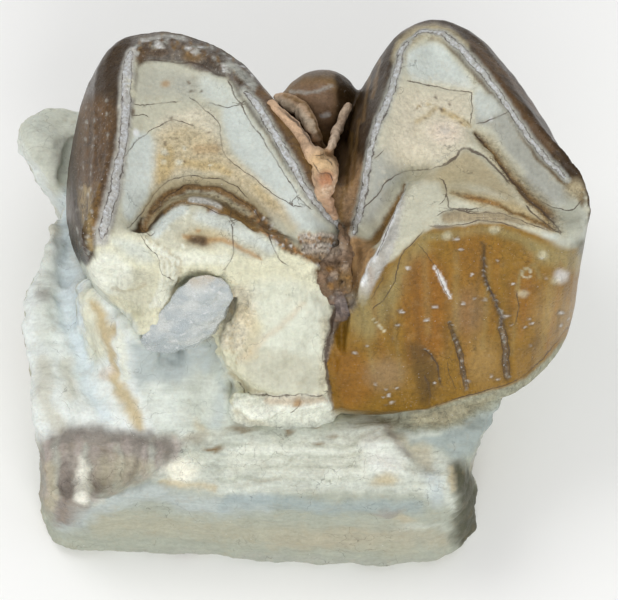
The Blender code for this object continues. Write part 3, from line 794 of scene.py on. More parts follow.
def mark_left_dentine(s, c):
    whole = [
        (-5.25, 7.35), (-4.4, 7.4), (-3.4, 7.1), (-2.6, 6.9), (-2.1, 6.2), (-1.4, 5.2), (-0.6, 3.9),
        (0.1, 2.9), (0.9, 2.1), (0.4, 1.5), (-0.8, 2.1), (-1.6, 3.0), (-2.6, 3.6), (-4.0, 3.7), (-5.0, 3.0),
        (-5.6, 2.1), (-6.1, 2.1), (-5.9, 3.4), (-5.7, 4.6), (-5.6, 5.6), (-5.4, 6.6),
    ]
    s.patch(whole, c.dentine, gloss=0.42, grain=0.12)
    s.patch([(-5.1, 7.3), (-4.2, 7.3), (-3.4, 7.0), (-3.8, 6.5), (-5.3, 6.3)], c.slab, 0.3, 0.5)
    right = [
        (-2.7, 6.0), (-2.2, 6.1), (-1.7, 5.5), (-0.9, 4.2), (0.0, 2.9), (0.6, 2.2), (-0.4, 2.2),
        (-1.1, 3.1), (-1.9, 4.1), (-2.5, 4.9),
    ]
    s.patch(right, c.dentine_blue, 0.16, gloss=0.5)
    s.patch([(-5.55, 5.0), (-5.0, 5.2), (-4.75, 4.4), (-5.0, 3.4), (-5.6, 2.5), (-5.85, 3.2)],
            c.dentine_blue, 0.12)
    s.patch([(-3.3, 7.0), (-2.5, 6.7), (-2.2, 6.2), (-2.8, 6.1), (-3.4, 6.4)], c.dentine_blue, 0.2, 0.8)
    s.spot((-3.8, 6.6), (0.35, 0.35), c.slab, 0.45, grain=0.6)
    core = [
        (-4.7, 5.55), (-4.1, 5.85), (-3.3, 6.0), (-2.85, 5.6), (-2.7, 5.0), (-2.3, 4.4), (-1.5, 3.7),
        (-0.9, 3.1), (-0.7, 2.5), (-1.3, 2.7), (-2.2, 3.5), (-3.4, 4.0), (-4.4, 3.7), (-4.85, 3.2),
        (-4.85, 4.4),
    ]
    s.patch(core, c.dentine_cream, 0.2, 0.8, grain=0.55)
    ochre = [
        (-4.65, 5.2), (-3.9, 5.5), (-3.0, 5.1), (-2.5, 4.5), (-1.7, 3.8), (-1.0, 3.1), (-1.3, 2.8),
        (-2.3, 3.6), (-3.3, 4.0), (-4.2, 3.9), (-4.7, 3.5), (-4.75, 4.4),
    ]
    s.patch(ochre, c.ochre, 0.3, 0.55, grain=0.85)
    s.patch([(-4.75, 4.4), (-4.3, 4.8), (-4.2, 4.1), (-4.75, 3.6)], c.ochre, 0.12, 0.75)
    s.stroke([(-4.0, 4.3), (-3.2, 4.2), (-2.5, 3.95)], (0.12, 0.16, 0.1), c.ochre, 0.8, 0.7)
    s.stroke([(-3.5, 4.75), (-2.9, 4.7)], 0.14, c.rust, 0.8, 0.35)
    s.stroke([(-1.6, 3.5), (-0.9, 2.8), (-0.5, 2.3)], 0.16, c.ochre, 0.9, 0.45)
    s.spot((-4.5, 6.75), (0.14, 0.1), c.rust, 0.6)
    for x, y, size in (
        (-3.75, 6.8, 0.06), (-3.68, 6.5, 0.05), (-3.4, 6.55, 0.03), (-4.3, 5.65, 0.05), (-3.9, 4.35, 0.05),
        (-4.5, 4.85, 0.04), (-3.6, 5.2, 0.03), (-3.1, 5.25, 0.03), (-4.15, 5.1, 0.03), (-3.3, 4.55, 0.04),
        (-4.3, 4.2, 0.03), (-3.0, 4.35, 0.03),
    ):
        s.spot((x, y), size, c.umber, 0.75, rise=-0.02)
    for x, y, size in (
        (-4.5, 4.6, 0.1), (-4.05, 4.3, 0.09), (-4.55, 4.3, 0.06), (-3.9, 4.75, 0.05), (-3.1, 4.2, 0.05),
    ):
        s.spot((x, y), size, c.white, 0.6)
    s.crack([(-5.5, 6.12), (-5.0, 6.13), (-4.5, 6.2), (-4.1, 6.25)], 0.012)
    s.crack([(-5.5, 5.75), (-5.2, 5.78), (-5.0, 5.7)], 0.011)
    s.crack([(-5.75, 4.45), (-5.4, 4.95), (-5.0, 5.3), (-4.6, 5.5), (-4.3, 5.62), (-3.95, 5.6),
            (-3.55, 5.45)], 0.013)
    s.crack([(-3.75, 6.35), (-3.35, 6.05), (-2.85, 5.6), (-2.75, 5.1), (-2.68, 4.65), (-2.4, 4.3)], 0.012)
    s.crack([(-2.4, 4.3), (-1.95, 4.0), (-1.2, 3.4), (-0.8, 3.15), (-0.5, 3.0), (-0.2, 2.9)], 0.011)
    s.crack([(-3.2, 6.2), (-2.6, 6.05), (-2.3, 6.1), (-2.0, 6.2)], 0.012)


def mark_left_ring(s, c):
    flank = [
        (-1.5, 6.75), (-0.6, 6.3), (0.3, 4.9), (1.0, 3.6), (1.5, 2.6), (0.95, 2.15), (0.5, 2.7),
        (-0.1, 3.7), (-0.8, 4.9), (-1.3, 5.8), (-1.7, 6.3),
    ]
    s.patch(flank, c.flank_brown, 0.06, gloss=0.6, grain=0.6)
    s.stroke([(-1.1, 6.1), (-0.5, 5.1), (0.1, 4.0), (0.7, 2.9)], 0.1, c.hollow, 0.9, 0.7)
    ring = [
        (-2.05, 6.55), (-1.7, 6.15), (-1.3, 5.55), (-0.8, 4.7), (-0.25, 3.75), (0.2, 3.05), (0.7, 2.5),
        (1.05, 2.2),
    ]
    s.stroke(ring, (0.12, 0.2, 0.19, 0.17, 0.17, 0.16, 0.14, 0.1), c.slab, 0.6, gloss=0.6, grain=0.5)
    s.ring(ring, (0.04, 0.1, 0.11, 0.1, 0.09, 0.09, 0.08, 0.05))
    s.crack([(-2.55, 6.85), (-2.3, 6.4), (-2.05, 5.95), (-1.65, 5.3), (-1.2, 4.6), (-0.7, 3.8),
            (-0.3, 3.2), (0.1, 2.8)], 0.014)
    speckle(s, [(-1.4, 6.2), (-0.6, 4.9), (0.2, 3.6), (0.8, 2.6)], 0.22, 70, 0.035,
            (c.umber, c.painted_highlight_white, c.hollow, c.orange, c.umber), 0.7)
    s.crack([(-0.3, 3.3), (-0.5, 3.1), (-0.45, 2.95)], 0.01)


def mark_left_hollow(s, c):
    arc = [
        (-5.15, 2.25), (-4.9, 2.75), (-4.5, 3.2), (-4.0, 3.45), (-3.4, 3.52), (-2.8, 3.4), (-2.2, 3.1),
        (-1.7, 2.7), (-1.3, 2.25), (-0.9, 1.85), (-0.3, 1.5), (0.4, 1.25), (0.9, 1.1),
    ]
    outer = [(-5.2, 2.7), (-4.8, 3.25), (-4.2, 3.62), (-3.4, 3.75), (-2.7, 3.65), (-2.0, 3.25), (-1.4, 2.7)]
    s.stroke(outer, (0.08, 0.14, 0.16, 0.16, 0.15, 0.14, 0.1), c.tan, 0.6, gloss=0.45, grain=0.3)
    s.stroke(arc, (0.12, 0.14, 0.13, 0.1, 0.09, 0.09, 0.11, 0.14, 0.17, 0.18, 0.17, 0.16, 0.16),
             (0.25, 0.15, 0.06), 0.5, gloss=0.5, grain=0.8, rise=-0.06)
    s.stroke([(-5.05, 2.35), (-4.75, 2.8), (-4.3, 3.2)], (0.05, 0.08, 0.05), c.tan, 0.9, 0.7)
    s.stroke([(-4.6, 2.9), (-4.0, 3.22), (-3.4, 3.28), (-2.7, 3.15), (-2.1, 2.8), (-1.6, 2.4)], 0.09, c.tan,
             0.8, 0.8, grain=0.9)
    inner = [(-4.5, 2.75), (-4.0, 3.05), (-3.4, 3.05), (-2.8, 2.92), (-2.2, 2.65), (-1.7, 2.3)]
    s.stroke(inner, 0.09, c.hollow, 0.6, 0.9, grain=0.9, glint=0.25, rise=-0.04)
    s.stroke([(-3.7, 3.15), (-3.2, 3.1), (-2.8, 2.95)], 0.07, c.band, 0.6, glint=0.5, grain=0.9)
    s.stroke([(-3.1, 2.85), (-2.5, 2.75), (-2.0, 2.55), (-1.6, 2.2)], 0.11, c.hollow, 0.6, rise=-0.06)
    # Painted glint
    s.spot((-3.0, 2.75), (0.14, 0.12), c.painted_highlight_white, 0.7, glint=0.6)
    s.stroke(arc[7:], (0.06, 0.15, 0.15, 0.14, 0.13, 0.12), c.umber, 0.6, 0.5, grain=1.0, glint=0.4)
    speckle(s, [(-1.75, 2.6), (-1.3, 2.2), (-0.9, 1.8), (-0.3, 1.45), (0.2, 1.25), (0.9, 0.7)], 0.24, 90,
            0.05, (c.orange, c.umber, c.painted_highlight_white, c.rust, c.umber, c.hollow), 0.8)
    speckle(s, [(-4.9, 2.8), (-4.2, 3.3), (-3.4, 3.4), (-2.6, 3.1), (-1.9, 2.6)], 0.22, 60, 0.035,
            (c.umber, c.band, c.hollow, c.painted_highlight_white, c.tan), 0.7)
    s.crack([(-5.7, 2.2), (-5.3, 2.65), (-4.9, 3.2), (-4.35, 3.72), (-3.7, 3.88), (-3.0, 3.8), (-2.4, 3.6),
            (-1.9, 3.2)], 0.013)
    s.crack([(-5.25, 2.4), (-5.0, 2.0), (-4.85, 2.15)], 0.011)
    s.crack([(-4.9, 2.75), (-4.45, 3.22), (-3.9, 3.55), (-3.3, 3.58), (-2.7, 3.45), (-2.0, 3.0),
            (-1.5, 2.5)], 0.012)
    s.crack([(-3.85, 2.98), (-3.3, 2.98), (-2.7, 2.7), (-2.2, 2.5), (-1.6, 2.2)], 0.011)


def mark_left_cusp(s, c):
    top = [
        (-4.95, 2.05), (-4.5, 2.65), (-4.0, 2.95), (-3.4, 2.85), (-2.9, 2.6), (-2.2, 2.4), (-1.5, 2.0),
        (-1.1, 1.5), (-1.5, 1.15), (-2.5, 1.35), (-3.5, 1.4), (-4.4, 1.45),
    ]
    s.patch(top, c.dentine, gloss=0.4, grain=0.3)
    s.stroke([(-4.8, 2.1), (-4.4, 2.55), (-3.95, 2.85)], 0.16, c.dentine_blue, 0.6)
    s.stroke([(-3.4, 2.6), (-2.6, 2.35), (-1.7, 1.9), (-1.2, 1.6)], 0.2, c.dentine_blue, 0.8, 0.8)
    cream = [
        (-4.4, 1.55), (-3.6, 1.55), (-2.6, 1.6), (-1.9, 1.3), (-1.1, 1.25), (-0.5, 0.75), (0.3, 0.35),
        (0.6, -0.1), (0.0, -0.1), (-1.0, 0.2), (-2.0, 0.8), (-2.8, 0.9), (-3.6, 1.0), (-4.3, 1.1),
    ]
    s.patch(cream, c.cream, 0.1, gloss=0.35, grain=0.25)
    s.patch([(-4.3, 1.5), (-3.4, 1.5), (-2.5, 1.4), (-2.6, 1.1), (-3.6, 1.1), (-4.2, 1.2)], c.white, 0.15,
            0.7)
    s.spot((-3.3, 1.95), (0.65, 0.28), c.ochre, 0.6)
    s.stroke([(-3.9, 2.0), (-3.3, 1.85), (-2.6, 1.85), (-2.0, 1.55), (-1.5, 1.25)],
             (0.05, 0.1, 0.08, 0.07, 0.04), c.rust, 0.9, 0.7)
    s.spot((-3.45, 1.87), (0.26, 0.13), c.umber, 0.95, rise=-0.1)
    s.spot((-3.3, 1.75), (0.14, 0.08), c.umber, 0.7, rise=-0.05)
    s.spot((-3.45, 2.15), (0.09, 0.05), c.rust, 0.7)
    for x, y, size in ((-3.8, 2.75, 0.07), (-3.9, 2.6, 0.05), (-3.95, 1.7, 0.06), (-4.4, 2.2, 0.07)):
        s.spot((x, y), size, c.white, 0.8)
    s.crack([(-2.38, 2.9), (-2.42, 2.45), (-2.4, 2.0), (-2.35, 1.6), (-2.4, 1.3), (-2.7, 0.85)], 0.015)
    s.crack([(-2.5, 2.45), (-2.25, 2.42)], 0.018)
    s.crack([(-1.25, 2.2), (-1.2, 1.8), (-1.0, 1.4), (-0.6, 1.0)], 0.013)
    s.crack([(-3.1, 0.75), (-2.8, 0.6), (-2.5, 0.2)], 0.009)


def mark_broken_corner(s, c):
    zone = [
        (-6.95, 1.2), (-6.5, 1.8), (-5.8, 2.05), (-5.1, 1.9), (-4.6, 1.5), (-4.2, 0.9), (-4.2, 0.3),
        (-4.8, -0.3), (-5.4, -0.7), (-6.3, 0.1), (-6.9, 0.7),
    ]
    s.patch(zone, c.cream, 0.1, gloss=0.45, grain=0.3)
    s.patch([(-6.85, 1.1), (-6.4, 1.6), (-5.7, 1.2), (-5.5, 0.6), (-6.1, 0.2), (-6.7, 0.6)], c.white, 0.15,
            0.9, rise=0.1)
    s.patch([(-6.2, 1.9), (-5.2, 1.8), (-4.9, 1.2), (-5.6, 1.3)], c.dentine_blue, 0.2, 0.7)
    s.patch([(-5.6, 0.9), (-4.9, 0.8), (-4.9, 0.0), (-5.5, -0.3), (-6.0, 0.3)], c.dentine, 0.2, 0.6)
    for shift in range(4):
        layer = [
            (-5.05 + 0.2 * shift, 1.85 - 0.12 * shift), (-4.62 + 0.17 * shift, 1.2),
            (-4.6 + 0.14 * shift, 0.5), (-4.95 + 0.12 * shift, -0.2),
        ]
        s.stroke(layer, 0.06, c.white, 0.8, 0.75, rise=0.07)
        s.stroke([(x + 0.09, y) for x, y in layer], 0.035, c.tan, 0.8, 0.55, rise=-0.05)
    s.stroke([(-4.1, 1.0), (-4.05, 0.6), (-4.3, 0.2)], 0.06, c.tan, 0.6, 0.6, rise=-0.06)
    s.stroke([(-6.1, 0.4), (-5.5, 0.3), (-5.1, 0.5)], 0.06, c.tan, 0.8, 0.5)
    s.crack([(-5.3, 2.1), (-5.0, 1.6), (-4.75, 1.4), (-4.6, 0.9), (-4.2, 0.6)], 0.01)
    foot = [
        (-8.4, 1.4), (-7.3, 1.5), (-6.9, 1.0), (-6.3, 0.1), (-5.4, -0.7), (-5.0, -1.6), (-3.0, -1.6),
        (-2.6, -3.0), (-7.0, -3.4),
    ]
    s.patch(foot, c.bone, 0.08, gloss=0.35, grain=0.15)


def mark_boss(s, c):
    boss = [
        (-2.5, 0.9), (-1.6, 1.0), (-0.8, 0.9), (0.1, 0.2), (0.6, -0.1), (0.62, -0.8), (0.55, -2.0),
        (0.5, -3.0), (-0.6, -3.05), (-1.4, -2.95), (-2.2, -2.6), (-2.6, -2.0), (-2.9, -1.2), (-2.8, -0.7),
        (-2.4, -0.1),
    ]
    s.patch(boss, c.cream, 0.08, gloss=0.35, grain=0.16)
    facet = [
        (-1.9, -1.6), (-1.3, -0.9), (-0.4, -0.3), (0.1, 0.2), (0.6, -0.2), (0.6, -1.6), (0.5, -2.7),
        (-0.5, -2.9), (-1.6, -2.6),
    ]
    s.patch(facet, c.boss_green, 0.3, gloss=0.45, grain=0.1, rise=0.08)
    s.patch([(-1.9, 0.4), (-0.6, 0.6), (0.4, 0.0), (0.5, -1.2), (-0.3, -1.6), (-1.4, -0.8)], c.boss_green,
            0.25, 0.85)
    s.patch([(-1.9, -1.4), (-0.4, -1.7), (0.4, -1.9), (0.3, -2.7), (-1.0, -2.8), (-2.0, -2.3)], c.dentine,
            0.25, 0.8)
    s.patch([(-2.5, 0.3), (-1.9, 0.4), (-1.7, -0.6), (-2.1, -1.6), (-2.6, -1.5), (-2.85, -0.9)],
            c.dentine_cream, 0.2, 0.8, grain=0.75)
    s.stroke([(-0.2, -0.1), (-0.8, -0.7), (-1.4, -1.2), (-2.2, -1.9)], 0.09, c.dentine_cream, 0.9, 0.8,
             rise=0.05)
    s.stroke([(-2.2, -0.3), (-1.7, -0.9), (-1.9, -1.7)], 0.2, c.bone_tan, 0.8, 0.4)
    s.stroke([(0.45, -0.6), (0.5, -1.6), (0.42, -2.6)], 0.14, c.tan, 0.8, 0.5, grain=0.9)
    s.stroke([(-2.45, -2.3), (-1.8, -2.85), (-0.8, -3.05), (0.4, -3.0)], 0.07, c.tan, 0.8, 0.7, rise=-0.08)
    s.crack([(-2.3, -2.6), (-1.7, -2.95), (-0.8, -3.08), (0.0, -3.05), (0.5, -2.98)], 0.012, 0.05)
    speckle(s, [(-2.4, 0.2), (-2.2, -0.5), (-2.5, -1.3), (-2.1, -1.9)], 0.5, 60, 0.05,
            (c.bone_tan, c.white, c.tan, c.cream, c.orange), 0.45)
    block = [
        (-2.3, -2.8), (-1.4, -3.0), (0.6, -3.0), (0.75, -3.6), (0.6, -3.9), (-1.0, -4.0), (-2.3, -3.95),
    ]
    s.patch(block, c.white, 0.1, gloss=0.3, grain=0.4)
    s.stroke([(-1.3, -3.15), (-0.3, -3.2), (0.4, -3.1)], 0.1, c.rust, 0.8, 0.45)
    s.spot((-0.35, -3.25), (0.16, 0.12), c.rust, 0.7)
    s.stroke([(-2.25, -3.5), (-1.9, -3.8), (-1.2, -3.9)], 0.1, c.ochre, 0.8, 0.4)
    s.crack([(-0.2, -3.1), (-0.35, -3.4), (-0.6, -3.55)], 0.012)
    s.crack([(-2.3, -3.95), (-1.2, -4.0), (0.1, -3.95), (0.8, -3.8)], 0.015)


def mark_pillar(s, c):
    pillar = [
        (-1.4, 6.5), (-1.0, 6.95), (-0.2, 7.1), (0.5, 7.25), (1.1, 7.1), (1.4, 6.9), (1.25, 6.2),
        (1.0, 5.5), (0.65, 4.8), (0.2, 5.2), (-0.4, 6.0), (-1.0, 6.4),
    ]
    s.patch(pillar, c.hollow, 0.15, gloss=0.6, grain=0.4)
    # Paler brown in the middle of the pillar: painted highlight on its rounded front
    s.patch([(-0.5, 6.6), (0.5, 6.8), (0.9, 6.2), (0.6, 5.3), (0.2, 5.6)], (0.27, 0.175, 0.115), 0.3, 0.8)
    s.stroke([(-1.2, 6.8), (-0.4, 7.05), (0.4, 7.2), (1.2, 7.1)], 0.2, c.line, 0.8, 0.8)
    s.stroke([(1.25, 6.9), (1.1, 6.2), (0.8, 5.4)], 0.2, c.umber, 0.9, 0.8)
    s.stroke([(-0.6, 6.5), (0.2, 6.5), (0.7, 6.7)], 0.05, c.band, 0.8, 0.7)
    # White dash: painted glint
    s.stroke([(0.4, 5.75), (0.6, 5.8)], 0.06, c.painted_highlight_white, 0.8, 0.6)
    s.stroke([(-0.6, 6.3), (0.0, 6.1), (0.35, 5.3)], 0.08, c.umber, 0.8, 0.5)


def mark_right_flanks(s, c):
    left = [
        (2.95, 8.9), (2.1, 8.5), (1.2, 7.6), (0.8, 6.9), (0.9, 6.1), (0.7, 5.0), (0.75, 4.0), (0.9, 3.0),
        (1.1, 2.3), (1.25, 1.8), (1.45, 2.2), (1.6, 3.2), (1.75, 4.2), (1.95, 5.2), (2.3, 6.1), (2.6, 6.9),
        (2.75, 7.6),
    ]
    s.patch(left, c.flank_dark, gloss=0.65, grain=0.5)
    # Lighter brown on the lower flank: painted light that lifts the shade the notch throws there
    s.patch([(1.0, 4.8), (1.6, 4.4), (1.75, 3.9), (1.55, 2.6), (1.25, 2.0), (0.95, 2.8), (0.85, 4.0)],
            (0.3, 0.19, 0.1), 0.25, 0.9, grain=0.8)
    for x, top, bottom in (
        (1.9, 7.2, 5.6), (2.2, 7.5, 6.3), (1.35, 5.2, 3.4), (1.55, 5.6, 3.6), (1.2, 4.4, 2.4),
    ):
        s.stroke([(x, top), (x - 0.22, bottom)], 0.05, c.hollow, 0.8, 0.7, rise=-0.03)
    right = [
        (2.7, 8.5), (3.2, 9.2), (4.8, 9.2), (6.2, 8.2), (7.2, 7.0), (8.2, 5.8), (8.9, 4.7), (8.9, 3.7),
        (8.4, 3.5), (8.0, 3.85), (7.3, 4.55), (6.6, 5.45), (6.0, 6.4), (5.3, 7.2), (4.8, 7.8), (4.3, 8.15),
        (3.7, 8.3), (3.2, 8.15),
    ]
    s.patch(right, c.flank_dark, gloss=0.75, grain=0.3)
    s.stroke([(5.2, 7.6), (6.0, 6.7), (6.8, 5.6), (7.5, 4.75)], 0.16, c.flank_brown, 0.8, 0.7)
    s.stroke([(5.0, 8.1), (6.2, 7.0), (7.2, 5.8)], 0.06, c.flank_brown, 0.9, 0.6)
    s.stroke([(3.0, 8.45), (3.7, 8.6), (4.4, 8.45)], 0.1, c.line, 0.9, 0.7)


def mark_right_ring(s, c):
    apex = [(2.8, 7.5), (2.95, 8.0), (3.4, 8.35), (3.9, 8.42), (4.35, 8.25), (4.8, 7.9)]
    s.stroke(apex, 0.2, c.tan, 0.5, gloss=0.5, grain=0.6)
    left = [
        (3.15, 8.15), (2.9, 7.7), (2.76, 7.1), (2.5, 6.3), (2.15, 5.5), (1.96, 4.8), (1.84, 4.1),
        (1.72, 3.3), (1.52, 2.5), (1.35, 1.95),
    ]
    s.stroke(left, (0.08, 0.15, 0.17, 0.17, 0.15, 0.15, 0.15, 0.16, 0.16, 0.1), c.slab, 0.6, gloss=0.6,
             grain=0.4)
    s.ring(left, (0.03, 0.07, 0.09, 0.1, 0.08, 0.08, 0.08, 0.09, 0.09, 0.04))
    right = [
        (3.2, 8.2), (3.6, 8.38), (4.1, 8.35), (4.6, 8.0), (5.05, 7.5), (5.55, 6.95), (6.05, 6.3),
        (6.5, 5.6), (6.97, 4.95), (7.5, 4.33), (8.05, 3.75),
    ]
    s.stroke(right, (0.06, 0.09, 0.12, 0.16, 0.17, 0.16, 0.15, 0.15, 0.15, 0.14, 0.1), c.slab, 0.6,
             gloss=0.6, grain=0.4)
    s.ring(right, (0.03, 0.045, 0.06, 0.08, 0.09, 0.085, 0.08, 0.075, 0.075, 0.07, 0.04))


def mark_right_dentine(s, c):
    whole = [
        (3.0, 7.5), (3.4, 8.0), (4.1, 8.05), (4.7, 7.5), (5.3, 6.8), (6.1, 5.9), (6.9, 4.6), (7.9, 3.6),
        (8.4, 3.1), (8.6, 2.4), (8.5, 1.6), (7.5, 1.9), (6.0, 2.4), (4.6, 2.3), (3.6, 2.2), (2.8, 1.4),
        (1.9, 1.0), (1.4, 1.8), (1.7, 3.2), (1.95, 4.3), (2.4, 5.6), (2.8, 6.7),
    ]
    s.patch(whole, c.dentine, gloss=0.42, grain=0.14)
    s.patch([(3.1, 7.6), (3.5, 7.95), (4.1, 7.95), (4.7, 7.3), (5.1, 6.6), (4.2, 6.75), (3.2, 6.9)],
            c.dentine_blue, 0.12, gloss=0.5)
    s.patch([(1.7, 2.4), (1.9, 3.6), (2.1, 4.6), (2.6, 4.6), (3.0, 4.0), (2.6, 3.5), (2.1, 2.6)], c.slab,
            0.2)
    cream = [
        (2.8, 6.6), (4.0, 6.6), (5.05, 6.4), (5.0, 5.4), (4.9, 4.8), (4.2, 4.35), (3.2, 4.1), (2.5, 4.5),
        (2.5, 5.6),
    ]
    s.patch(cream, c.dentine_cream, 0.55, grain=0.3)
    speckle(s, [(2.2, 3.6), (3.0, 5.0), (3.2, 6.4), (4.2, 6.0), (4.4, 5.0)], 0.9, 60, 0.07,
            (c.dentine_cream, c.slab, c.tan, c.dentine, c.ochre), 0.3)
    speckle(s, [(3.4, 5.9), (4.0, 6.1), (4.6, 5.7), (4.9, 5.3)], 0.22, 36, 0.035,
            (c.umber, c.tan, c.hollow, c.ochre), 0.7)
    s.spot((4.25, 5.25), (0.5, 0.35), (0.66, 0.56, 0.46), 0.7, grain=0.6)
    s.spot((4.25, 5.3), (0.16, 0.12), c.band, 0.5, glint=0.3)
    s.stroke([(3.35, 5.55), (3.7, 5.75), (3.95, 6.0)], 0.08, c.ochre, 0.9, 0.6)
    s.stroke([(4.2, 5.9), (4.6, 5.7), (5.0, 5.45)], 0.1, c.ochre, 0.9, 0.6)
    for x, y in (
        (3.95, 6.33), (4.35, 6.25), (4.42, 6.1), (4.15, 5.95), (3.85, 5.92), (4.7, 5.55), (3.6, 5.7),
    ):
        s.spot((x, y), 0.045, c.umber, 0.8, rise=-0.02)
    slab = [
        (5.25, 6.5), (5.7, 6.35), (6.2, 5.75), (6.9, 4.65), (7.6, 3.85), (8.3, 3.2), (8.3, 2.95),
        (7.6, 3.0), (7.0, 3.3), (6.5, 4.0), (6.0, 4.7), (5.5, 5.4), (5.2, 5.6),
    ]
    s.patch(slab, c.slab, 0.1, gloss=0.5)
    s.patch([(5.2, 6.7), (5.6, 6.4), (6.0, 5.95), (5.6, 5.7), (5.2, 5.8)], c.dentine_blue, 0.12, 0.7)
    s.stroke([(5.6, 5.3), (6.1, 4.6), (6.6, 4.0)], 0.14, c.dentine, 0.8, 0.8)
    beige = [
        (4.0, 4.0), (4.85, 4.65), (5.4, 4.4), (6.0, 3.8), (6.5, 3.1), (6.9, 2.7), (6.0, 2.95), (5.0, 3.2),
        (4.3, 3.5),
    ]
    s.patch(beige, c.tan, 0.15, grain=0.2)
    s.patch([(4.1, 3.6), (4.8, 3.7), (5.8, 3.4), (6.2, 3.1), (5.2, 3.2), (4.4, 3.4)], c.dentine, 0.12, 0.7)
    s.spot((8.3, 3.45), (0.3, 0.3), c.tan, 0.9, grain=0.9, gloss=0.3)
    s.patch([(7.2, 3.0), (8.4, 2.9), (8.7, 2.4), (8.6, 1.6), (7.8, 1.7), (7.2, 2.2)], c.dentine_blue, 0.15,
            0.7)
    s.crack([(3.05, 6.87), (3.5, 6.76), (4.0, 6.68), (4.5, 6.55), (5.1, 6.5)], 0.013)
    s.crack([(5.08, 6.5), (5.1, 6.0), (5.05, 5.5)], 0.012)
    s.crack([(5.25, 5.5), (5.6, 5.62), (5.9, 5.72), (6.2, 5.92)], 0.016)
    s.crack([(1.65, 2.85), (2.15, 3.3), (2.55, 3.8), (3.0, 4.0), (3.6, 4.06), (4.2, 4.25), (4.55, 4.5)],
            0.015)
    s.crack([(4.1, 4.2), (4.5, 4.4), (4.8, 4.72), (5.05, 4.72), (5.5, 4.5), (5.95, 4.05), (6.3, 3.65)],
            0.027, 0.05)
    s.crack([(2.0, 4.4), (2.35, 4.7)], 0.01)
    s.crack([(7.25, 3.12), (7.7, 2.9), (8.2, 2.83), (8.55, 3.1)], 0.012)
    # Painted glint
    s.spot((5.67, 5.64), 0.05, c.painted_highlight_white)


def mark_right_hollows(s, c):
    far = [
        (5.2, 5.2), (5.6, 4.85), (6.05, 4.25), (6.45, 3.7), (6.85, 3.25), (7.25, 2.9), (7.6, 2.55),
        (7.95, 2.1),
    ]
    s.stroke(far, (0.1, 0.2, 0.22, 0.22, 0.26, 0.28, 0.26, 0.14), c.tan, 0.9, gloss=0.4, grain=0.8)
    s.stroke(far, (0.03, 0.06, 0.06, 0.09, 0.14, 0.15, 0.16, 0.06), c.hollow, 0.6, gloss=0.4, grain=1.0,
             rise=-0.06)
    s.crack(far, 0.016, 0.04)
    s.stroke(far[2:], (0.03, 0.05, 0.07, 0.06, 0.09, 0.04), c.umber, 0.7, 0.8, grain=1.0, glint=0.2)
    s.stroke([(5.25, 5.15), (5.45, 4.95)], 0.08, c.umber, 0.8, 0.7)
    near = [(4.5, 3.35), (5.0, 3.22), (5.6, 3.08), (6.2, 2.85), (6.8, 2.6), (7.4, 2.35), (7.8, 2.2)]
    s.stroke(near, (0.1, 0.16, 0.2, 0.18, 0.2, 0.2, 0.1), c.ochre, 0.9, 0.8, gloss=0.4, grain=0.5)
    s.stroke(near, (0.05, 0.08, 0.09, 0.06, 0.06, 0.1, 0.06), c.hollow, 0.7, gloss=0.4, grain=0.9,
             rise=-0.04)
    s.stroke([(4.9, 3.22), (5.5, 3.1), (5.9, 3.0)], 0.07, c.rust, 0.8, 0.6)
    s.patch([(4.2, 2.75), (5.2, 2.8), (6.2, 2.7), (7.0, 2.3), (6.2, 2.4), (5.0, 2.45), (4.2, 2.4)],
            (0.33, 0.27, 0.17), 0.1, grain=0.5)
    s.spot((4.15, 3.65), (0.9, 0.5), (0.42, 0.36, 0.22), 0.7)
    s.spot((8.15, 2.4), (0.5, 0.7), (0.37, 0.37, 0.29), 0.8)
    s.crack([(4.08, 3.85), (4.3, 3.5), (4.33, 3.1), (4.45, 2.88), (5.0, 2.86), (5.5, 2.93)], 0.017, 0.05)
    s.crack([(3.95, 2.6), (4.2, 2.78), (4.5, 2.82), (5.0, 2.75), (5.8, 2.72), (6.4, 2.6), (7.0, 2.35),
            (7.5, 2.15)], 0.013)
    s.crack([(4.05, 3.0), (4.25, 3.2)], 0.011)
    s.crack([(3.75, 2.32), (4.4, 2.3), (4.9, 2.4), (5.4, 2.48), (6.0, 2.4), (6.6, 2.2)], 0.015)
    s.crack([(6.8, 3.0), (7.1, 2.65), (7.6, 2.3), (7.9, 2.0)], 0.018, 0.05)
    # Painted glint on the enamel edge
    s.spot((4.85, 2.24), (0.1, 0.06), c.painted_highlight_white, 0.9, glint=0.5)
    s.stroke([(4.0, 2.3), (4.6, 2.2), (5.1, 2.25)], 0.06, c.line, 0.8, 0.6)


